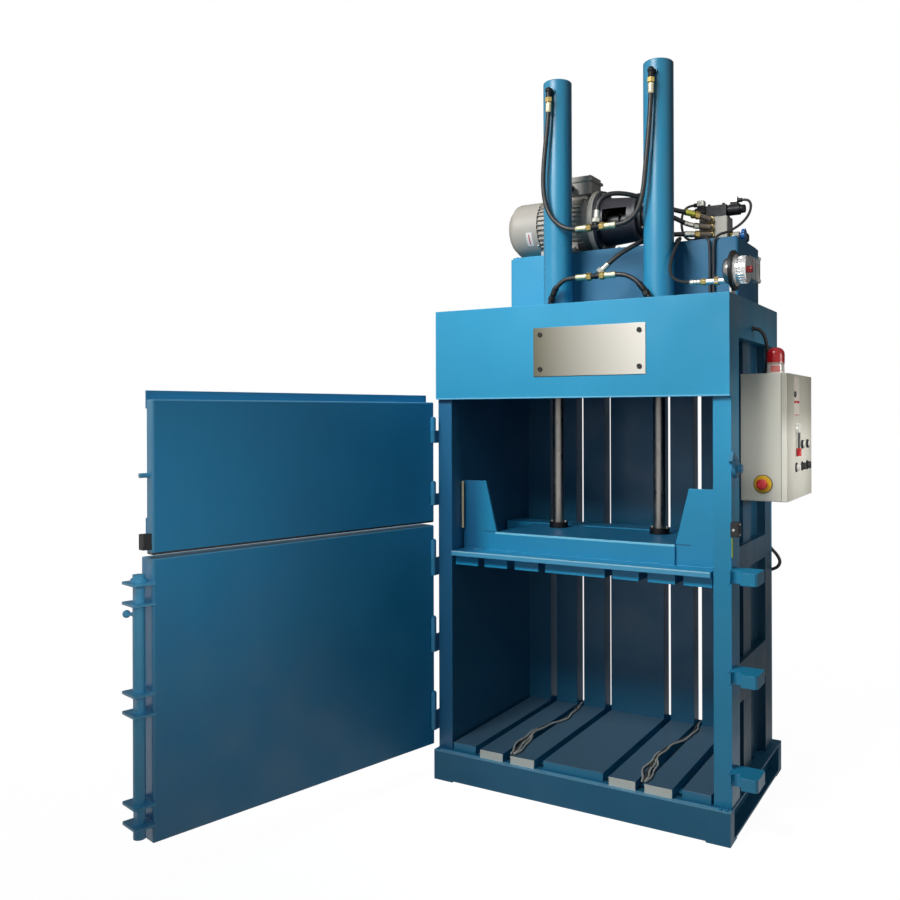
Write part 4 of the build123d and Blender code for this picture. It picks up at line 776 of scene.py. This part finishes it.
def tank_plate(low, high):
    """Bare plate with one bar of colour and four rivets on the tank's right end."""
    left, right, bottom, top = low.y + 0.1785, low.y + 0.285, low.z + 0.1457, low.z + 0.2417
    plate = Shape().box((high.x + 0.0001, left, bottom), (high.x + 0.0013, right, top))
    plate.save("tank_plate", pale_plate, 0.0004)
    bar = Shape().box((high.x + 0.0011, left + 0.0395, top - 0.023),
                      (high.x + 0.0017, right - 0.013, top - 0.016))
    bar.save("tank_plate_bar", red_plastic)
    rivets = Shape()
    inset = 0.006
    for y in (left + inset, right - inset):
        for z in (bottom + inset, top - inset):
            rivets.turned([(0, 0.0026), (0.0012, 0.0018), (0.0015, 0)], (high.x + 0.0013, y, z), RIGHT, 12)
    rivets.save("tank_plate_rivets", zinc)


def level_details():
    """Glass, oil and nuts of the level gauge."""
    low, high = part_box("level_gauge")
    glass = Shape().box((low.x + 0.0062, low.y + 0.0085, low.z + 0.022),
                        (low.x + 0.0102, high.y - 0.0085, high.z - 0.022))
    glass.save("level_glass", clear_plastic, 0.001)
    oil = Shape().box((low.x + 0.0065, low.y + 0.0095, low.z + 0.023),
                      (low.x + 0.0106, high.y - 0.0095, low.z + 0.07))
    oil.save("level_oil", oil_tint, 0.0008)
    nuts = Shape()
    for z in (low.z + 0.0095, high.z - 0.0095):
        place = (high.x, (low.y + high.y) / 2, z)
        nuts.turned([(0, 0.0075), (0.004, 0.0075), (0.0055, 0.006)], place, RIGHT, 6)
    nuts.save("level_nuts", zinc, 0.0004)


def tank_details():
    tank_plate(*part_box("oil_tank"))
    low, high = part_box("tank_lid")
    rim, size = low.z + 0.008, 0.0062
    cap_x, cap_y = high.x - 0.052, high.y - 0.052
    bolts = Shape()
    for x in (low.x + 0.017, -0.26, 0.0, 0.24, high.x - 0.017):
        for y in (low.y + 0.0145, high.y - 0.0145):
            under_cap = x > 0.4 and y > 0.4
            if not under_cap:
                bolts.bolt((x, y, rim), UP, size)
    for x in (low.x + 0.014, high.x - 0.014):
        bolts.bolt((x, (low.y + high.y) / 2, rim), UP, size)
    bolts.save("tank_lid_bolts", zinc)
    cap = Shape()
    for angle, place in around(20, (cap_x, cap_y, high.z - 0.0293), 0.0305, UP, 0):
        cap.turned([(0, 0.0014), (0.002, 0.0024), (0.024, 0.0024), (0.026, 0.0014)], place, UP, 8)
    cap.turned([(0, 0.0295), (0.002, 0.0295), (0.005, 0.024), (0.006, 0.0)], (cap_x, cap_y, high.z), UP, 32)
    cap.save("filler_cap", black_plastic)
    level_details()


drive = middle("bell_housing")


def drive_bolts():
    bell_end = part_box("bell_housing")[0].x + 0.014
    motor_low, motor_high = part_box("motor_body")
    pump_low, pump_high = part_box("hydraulic_pump")
    box_low, box_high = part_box("motor_terminal_box")
    bolts = Shape()
    for count, x, radius, axis, size in (
        (8, bell_end, 0.127, RIGHT, 0.0075), (8, motor_high.x - 0.024, 0.135, LEFT, 0.007),
        (4, pump_low.x + 0.014, 0.071, RIGHT, 0.0072), (4, pump_high.x, 0.033, RIGHT, 0.0055),
    ):
        for angle, place in around(count, (x, drive.y, drive.z), radius, RIGHT):
            bolts.bolt(place, axis, size, angle)
    cowl_rim = (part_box("motor_fan_cover")[1].x - 0.0045, drive.y, drive.z)
    for angle, place in around(4, cowl_rim, 0.128, RIGHT):
        bolts.bolt(place, (0, math.cos(angle), math.sin(angle)), 0.0045, angle)
    for x in (motor_low.x + 0.058, motor_low.x + 0.196):
        for y in (drive.y - 0.109, drive.y + 0.109):
            bolts.bolt((x, y, motor_low.z + 0.0217), UP, 0.0085)
    for x in (box_low.x + 0.016, box_high.x - 0.016):
        for y in (box_low.y + 0.028, box_high.y - 0.016):
            bolts.turned([(0, 0.0052), (0.003, 0.005), (0.004, 0.004)], (x, y, box_high.z), UP, 16)
    bolts.save("drive_bolts", zinc)


def drive_details():
    drive_bolts()
    low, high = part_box("motor_terminal_box")
    place = ((low.x + high.x) / 2, low.y, low.z + 0.026)
    gland = Shape().turned(nut_outline(0, 0.011, 0.0185, 0.0175), place, FRONT, 6)
    gland.turned([(0.011, 0.015), (0.02, 0.0145), (0.026, 0.0115), (0.027, 0.0)], place, FRONT, 24)
    gland.save("terminal_gland", black_plastic, 0.0005)
    cowl = (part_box("motor_fan_cover")[0].x, drive.y, drive.z)
    for name, left, right, start, end, inner, outer, finish in (
        ("cowl_plate", 0.102, 0.132, 194, 224, 0.1276, 0.1288, pale_plate),
        ("cowl_mark", 0.1145, 0.1195, 198, 220, 0.1284, 0.1293, red_plastic),
    ):
        outline = [(left, inner), (right, inner), (right, outer), (left, outer)]
        Shape().rings(bent(outline, cowl, start, end, 8)).save(name, finish)
    plate = Shape().box((low.x + 0.017, low.y + 0.0174, low.z + 0.0144),
                        (low.x + 0.067, low.y + 0.0182, low.z + 0.0444))
    plate.save("terminal_plate", zinc, 0.0003)
    eye_x, eye_radius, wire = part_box("motor_body")[1].x - 0.064, 0.017, 0.0048
    foot = [(0, 0.014), (0.004, 0.014), (0.006, 0.011)]
    eye = Shape().turned(foot, (eye_x, drive.y, drive.z + 0.113), UP, 20)
    hoop = []
    for step in range(25):
        angle = math.tau * step / 24
        out = Vector((math.cos(angle), 0, math.sin(angle)))
        centre = Vector((eye_x, drive.y, drive.z + 0.137)) + out * eye_radius
        hoop.append(circle(centre, out, Vector(BACK), wire, 12))
    eye.rings(hoop).save("lifting_eye", zinc)


def valve_details():
    low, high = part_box("directional_valve")
    axis_x, axis_y = (low.x + high.x) / 2, (low.y + high.y) / 2
    cap_top, half_cap = high.z + 0.0014, 0.0155
    caps, screws, ends, elbows = Shape(), Shape(), Shape(), Shape()
    for x in (low.x + 0.036, high.x - 0.036):
        caps.box((x - half_cap, axis_y - half_cap, cap_top - 0.024),
                 (x + half_cap, axis_y + half_cap, cap_top))
        screws.turned([(0, 0.0045), (0.002, 0.0045), (0.003, 0.0035)], (x, axis_y, cap_top), UP, 16)
    caps.save("plug_caps", zinc, 0.0025)
    for x in (axis_x - 0.031, axis_x + 0.031):
        for y in (axis_y - 0.022, axis_y + 0.022):
            screws.turned(socket_head(0.0062, 0.0054, 0.003), (x, y, high.z - 0.0297), UP, 20)
    screws.save("valve_screws", black_steel)
    for x, axis in ((low.x, LEFT), (high.x, RIGHT)):
        ends.turned(nut_outline(0, 0.01, 0.0175, 0.0165), (x, axis_y, low.z + 0.03), axis, 6)
    ends.save("coil_nuts", black_steel, 0.0005)
    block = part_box("valve_manifold")[0]
    for row in (2, 1, 0):
        place = (block.x + 0.063, block.y + 0.0609, block.z + 0.0317 + 0.033 * row)
        elbows.turned(nut_outline(0, 0.012, 0.0172, 0.016), place, FRONT, 6)
    elbows.save("manifold_nuts", brass_zinc, 0.0005)
    wheel = middle("relief_wheel")
    place = (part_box("relief_wheel")[0].x - 0.0099, wheel.y, wheel.z)
    relief = Shape().turned(nut_outline(0, 0.014, 0.019, 0.0175), place, RIGHT, 6)
    relief.save("relief_nut", brass_zinc, 0.0005)


def tee_details():
    sleeves, nuts, branches = Shape(), Shape(), Shape()
    run_radius = 0.0145
    for node, branch in (("upper_hose_tee", (0.05, 0.1, 1)), ("lower_hose_tee", (0.66, 0.3, 0.69))):
        low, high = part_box(node)
        centre = ((low.x + high.x) / 2, low.y + run_radius, low.z + run_radius)
        for axis in (LEFT, RIGHT):
            nuts.turned(nut_outline(0.018, 0.022, 0.0172, 0.015, 0.002), centre, axis, 6)
            sleeves.turned(sleeve_outline(0.041, 0.05, 0.0138), centre, axis, 24)
        branches.turned(nut_outline(0.018, 0.02, 0.0172, 0.015, 0.002), centre, branch, 6)
        branches.turned(sleeve_outline(0.038, 0.034, 0.0128), centre, branch, 24)
    nuts.save("tee_nuts", brass_zinc, 0.0005)
    sleeves.save("tee_sleeves", pale_zinc)
    branches.save("tee_branches", zinc, 0.0004)


def gauge_details():
    low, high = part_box("pressure_gauge")
    x, y, z = high.x - 0.072, (low.y + high.y) / 2, high.z - 0.073
    rim = [(-0.003, 0.066), (-0.003, 0.0735), (-0.001, 0.0755),
           (0.009, 0.0755), (0.011, 0.0735), (0.011, 0.064)]
    bezel = [(0.0085, 0.06), (0.014, 0.06), (0.017, 0.057), (0.018, 0.0515)]
    back = [(0, 0.05), (0.014, 0.049), (0.022, 0.044), (0.026, 0.034), (0.026, 0.0)]
    knob = [(-0.0003, 0.0118), (0.002, 0.0128), (0.012, 0.0128), (0.0152, 0.009), (0.0152, 0.0)]
    for name, outline, ahead, axis, segments, finish in (
        ("gauge_ring", rim, 0.0, RIGHT, 64, black_steel),
        ("gauge_bezel", bezel, 0.0, RIGHT, 64, polished),
        ("gauge_back", back, -0.0062, LEFT, 48, dull_chrome),
    ):
        Shape().turned(outline, (x + ahead, y, z), axis, segments).save(name, finish)
    flutes, bolts = Shape(), Shape()
    for angle, place in around(28, (x + 0.022, y, z), 0.0498, RIGHT, 0):
        flutes.turned([(0, 0.001), (0.002, 0.0026), (0.028, 0.0026), (0.03, 0.001)], place, RIGHT, 6)
    flutes.save("gauge_flutes", polished)
    Shape().turned(knob, (x + 0.058, y, z), RIGHT, 24).save("gauge_knob", red_plastic)
    nut = Shape().turned(nut_outline(0, 0.018, 0.0172, 0.0158), (low.x + 0.03, y, z - 0.034), RIGHT, 6)
    nut.save("gauge_nut", brass_zinc, 0.0005)
    for off in (-0.022, 0.022):
        bolts.bolt((x - 0.034, y + off, low.z + 0.006), UP, 0.006)
    bolts.save("gauge_bolts", zinc)


# Cabinet

def panel_details(face):
    """Rings, lamps and caps of the push buttons on the cabinet's door."""
    lamp_height = middle("start_button").z + 0.087
    base = [(0, 0.0165), (0.001, 0.0175), (0.006, 0.0175), (0.009, 0.0152), (0.009, 0.0125)]
    dome = [(0.003, 0.0125), (0.01, 0.0125), (0.0145, 0.0095), (0.0155, 0.0)]
    ring = [(0, 0.0178), (0.001, 0.0188), (0.0035, 0.0188), (0.005, 0.0165), (0.005, 0.015), (0, 0.015)]
    cap = [(0.0059, 0.0143), (0.014, 0.0143), (0.0166, 0.0125), (0.0166, 0.0095), (0.016, 0.0)]
    rings, lenses = Shape(), Shape()
    for node in ("stop_button", "raise_button"):
        place = (face, middle(node).y, lamp_height)
        rings.turned(base, place, RIGHT, 32)
        lenses.turned(dome, place, RIGHT, 24)
    buttons = []
    for name, finish in (("start", white_plastic), ("stop", black_plastic), ("raise", black_plastic)):
        button = middle(name + "_button")
        buttons.append((name, (face, button.y, button.z), finish))
        rings.rings(bent(ring, buttons[-1][1], 0, 360, 32))
    rings.save("panel_rings", panel_chrome, body="cabinet_door_group")
    lenses.save("lamp_lenses", lens_plastic, body="cabinet_door_group")
    for name, place, finish in buttons:
        Shape().turned(cap, place, RIGHT, 32).save(name + "_cap", finish, body=name + "_button_group")


def door_plate(face, low, high):
    """Bare plate with two bars of colour and the lock on it."""
    body = "cabinet_door_group"
    left, right, bottom, top = low.y + 0.13, low.y + 0.225, high.z - 0.163, high.z - 0.01
    plate = Shape().box((face, left, bottom), (face + 0.0008, right, top))
    plate.save("door_plate", door_label, 0.0004, body=body)
    bars = Shape()
    for start, end in ((0.051, 0.06), (0.0035, 0.0065)):
        bars.box((face + 0.0006, left + 0.002, bottom + start), (face + 0.0012, right - 0.002, bottom + end))
    bars.save("door_plate_bars", red_plastic, body=body)
    lock = [(0, 0.0125), (0.003, 0.0125), (0.005, 0.0105), (0.005, 0.006), (0.002, 0.006)]
    lock = Shape().turned(lock, (face + 0.0006, left + 0.011, bottom + 0.085), RIGHT, 24)
    lock.save("door_lock", black_plastic, body=body)


def cabinet_details():
    low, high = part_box("cabinet_door")
    face = high.x - 0.014
    place = (*routes["cabinet_cable"][2][-1][:2], high.z + 0.0001)
    gland = Shape().turned(nut_outline(0, 0.01, 0.0148, 0.0135), place, UP, 6)
    gland.turned([(0.01, 0.0125), (0.018, 0.0118), (0.023, 0.009), (0.024, 0.0075)], place, UP, 24)
    gland.save("cabinet_gland", black_plastic, 0.0004)
    panel_details(face)
    door_plate(face, low, high)
    hub = [(0, 0.0215), (0.001, 0.0225), (0.006, 0.0225), (0.008, 0.0205), (0.008, 0.0)]
    place = (face + 0.0003, middle("isolator_handle").y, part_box("isolator_handle")[1].z - 0.02)
    Shape().turned(hub, place, RIGHT, 32).save("isolator_rose", white_plastic, body="cabinet_door_group")
    ring = [(0, 0.0335), (0.001, 0.0355), (0.007, 0.0355), (0.009, 0.0335), (0.009, 0.03)]
    stop = middle("emergency_stop_collar")
    place = (stop.x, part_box("emergency_stop_collar")[1].y, stop.z)
    Shape().turned(ring, place, FRONT, 48).save("stop_ring", dark_olive)
    rings = [(0.006, 0.0325), (0.01, 0.0332), (0.0105, 0.0318), (0.034, 0.0316), (0.035, 0.0331),
             (0.041, 0.0331), (0.0418, 0.031)]
    beacon = middle("beacon_base")
    place = (beacon.x, beacon.y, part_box("beacon_base")[0].z)
    Shape().turned(rings, place, UP, 48).save("beacon_rings", beacon_foot)


# Platen, doors, posts and base

def platen_details():
    low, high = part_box("platen")
    welds = Shape()
    for spots, half, back, height, radius in (
        ((-0.496, -0.3565, -0.2135, 0.0, 0.2135, 0.3565, 0.496), 0.025, 0.0335, 0.0415, 0.0035),
        ((-0.47, -0.31, -0.15, 0.0, 0.15, 0.31, 0.47), 0.022, 0.0898, 0.0628, 0.004),
    ):
        y, z = low.y + back, low.z + height
        for x in spots:
            welds.weld((x - half, y, z), (x + half, y, z), radius)
    welds.save("platen_welds", platen_paint, body="platen_group")
    strip = Shape().box((low.x - 0.0015, low.y + 0.0882, low.z + 0.15),
                        (low.x + 0.0085, low.y + 0.0911, high.z - 0.002))
    strip.save("ear_guide", cream_paint, 0.0008, body="platen_group")
    rod, top = middle("cylinder_barrel_right"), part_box("rod_collars")[1].z
    screws = Shape()
    for x in (-rod.x, rod.x):
        for off in (-0.0325, 0.0325):
            screws.turned(socket_head(0.0055, 0.0046, 0.0025), (x + off, rod.y, top), UP, 16)
    screws.save("collar_screws", zinc, body="platen_group")


keeper_low, keeper_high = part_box("lock_keepers")
half_keeper = 0.0225
lock_heights = (keeper_high.z - half_keeper, keeper_low.z + 0.3845, keeper_low.z + half_keeper)


def door_details():
    door_end, lug_front, lug_back, lug_height, half_lug = 0.619, -0.476, -0.412, 0.033, 0.0045
    welds = Shape()
    for z in lock_heights:
        for side in (-lug_height, lug_height):
            for off in (-half_lug, half_lug):
                height = z + side + off
                welds.weld(swung((door_end, lug_front, height)), swung((door_end, lug_back, height)), 0.0026)
    welds.save("lug_welds", door_paint, body="lower_door_group")


def post_details():
    low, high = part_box("door_switch")
    guard = Shape().box((low.x, low.y + 0.014, low.z - 0.0755),
                        (low.x + 0.0047, low.y + 0.022, low.z - 0.0055))
    guard.save("cable_guard", green_wire, 0.0012)
    dot = [(0, 0.0052), (0.0012, 0.0052), (0.003, 0.0036), (0.0036, 0.0)]
    light = Shape().turned(dot, (low.x + 0.0112, low.y, low.z + 0.0245), FRONT, 20)
    light.save("switch_lamp", white_plastic)
    screws = Shape()
    for z in (low.z + 0.0075, high.z - 0.0075):
        screws.turned([(0, 0.004), (0.002, 0.004), (0.003, 0.003)], (high.x, low.y + 0.02, z), RIGHT, 14)
    screws.save("switch_screws", zinc)
    low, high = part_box("upper_latch")
    nut = [(0, 0.0155), (0.001, 0.0165), (0.01, 0.0165), (0.0105, 0.015)]
    pivot = Shape().turned(nut, (high.x + 0.0066, high.y - 0.034, low.z + 0.034), RIGHT, 6)
    pivot.save("latch_nut", base_paint, 0.0005)
    x, front, back = keeper_low.x + 0.0009, keeper_low.y + 0.01, keeper_high.y - 0.005
    welds = Shape()
    for height in lock_heights:
        for z in (height - half_keeper, height + half_keeper):
            welds.weld((x, front, z), (x, back, z), 0.003)
    welds.save("keeper_welds", side_paint)
    low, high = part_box("base_frame")
    feet = Shape()
    for x in (low.x + 0.016, high.x - 0.038, high.x - 0.016):
        feet.bolt((x, low.y + 0.0095, high.z + 0.0001), UP, 0.0062)
    feet.save("post_foot_bolts", side_paint)


header_details()
tank_details()
drive_details()
valve_details()
tee_details()
gauge_details()
cabinet_details()
platen_details()
door_details()
post_details()


# Floor, light and camera

def seen_white(nodes, depth, start, end):
    """One for the camera, and in reflections one in front and low behind."""
    rays = nodes.node("ShaderNodeLightPath").outputs
    seen = nodes.math("MULTIPLY", rays["Is Glossy Ray"], nodes.between(depth, start, end, 1.0, 0.15))
    for kind in ("Is Camera Ray", "Is Transmission Ray"):
        seen = nodes.math("MAXIMUM", seen, rays[kind])
    return seen


def studio_floor():
    backdrop = Finish("studio_floor", [0.16, 0.16, 0.16, 1.0], rough=0.9)
    mesh = bpy.data.meshes.new("studio_floor")
    half = 60.0
    corners = [(-half, -half, 0), (half, -half, 0), (half, half, 0), (-half, half, 0)]
    mesh.from_pydata(corners, [], [(0, 1, 2, 3)])
    ground = placed("studio_floor", mesh)
    mesh.materials.append(backdrop.material)
    seen = seen_white(backdrop, backdrop.axes()["Y"], -1.0, 1.5)
    backdrop.shader.inputs["Emission Color"].default_value = WHITE
    backdrop.link(backdrop.math("MULTIPLY", seen, 0.96), backdrop.shader.inputs["Emission Strength"])


def studio_room():
    """Surroundings seen as the floor is, with a low light of their own on everything else."""
    world = bpy.data.worlds.new("studio")
    world.use_nodes = True
    room = Nodes(world.node_tree)
    room.tree.nodes.clear()
    background = room.node("ShaderNodeBackground")
    background.inputs["Color"].default_value = WHITE
    split = room.node("ShaderNodeSeparateXYZ")
    room.link(room.node("ShaderNodeTexCoord").outputs["Generated"], split.inputs["Vector"])
    seen = seen_white(room, split.outputs["Y"], -0.2, 0.6)
    room.link(room.math("MAXIMUM", seen, 0.1), background.inputs["Strength"])
    room.link(background.outputs[0], room.node("ShaderNodeOutputWorld").inputs["Surface"])
    bpy.context.scene.world = world


def lamp(name, place, target, size, power, spread):
    """Area light from a place to a target, with its power in watts and its spread in degrees."""
    data = bpy.data.lights.new(name, "AREA")
    data.shape = "RECTANGLE"
    data.size, data.size_y = size
    data.energy = power
    data.spread = math.radians(spread)
    made = placed(name, data)
    made.location = place
    made.rotation_euler = (Vector(target) - Vector(place)).to_track_quat("-Z", "Y").to_euler()


def camera():
    """Lens and place solved from the edges of header, base and posts in the photograph."""
    data = bpy.data.cameras.new("camera")
    data.lens = 36.405
    data.sensor_width = 36.0
    data.shift_x = -0.0319
    data.shift_y = -0.0385
    made = placed("camera", data)
    made.location = (1.4877, -3.6646, 1.544)
    made.rotation_euler = (math.radians(90), 0.0029, 0.5274)
    bpy.context.scene.camera = made


studio_floor()
studio_room()
lamp("key", (-0.95, -3.4, 4.2), (-0.1, -0.4, 2.2), size=(2.2, 1.2), power=29, spread=62)
lamp("side_fill", (3.2, -0.3, 1.7), (0.77, 0.1, 1.42), size=(0.5, 0.5), power=1.0, spread=20)
lamp("cabinet_fill", (1.25, -2.3, 2.2), (0.69, -0.145, 1.4), size=(0.4, 0.4), power=0.16, spread=12)
lamp("door_fill", (1.3, -3.4, 1.9), (-1.15, -1.5, 1.12), size=(0.8, 0.8), power=0.95, spread=30)
camera()
bpy.context.scene.view_settings.view_transform = "Standard"
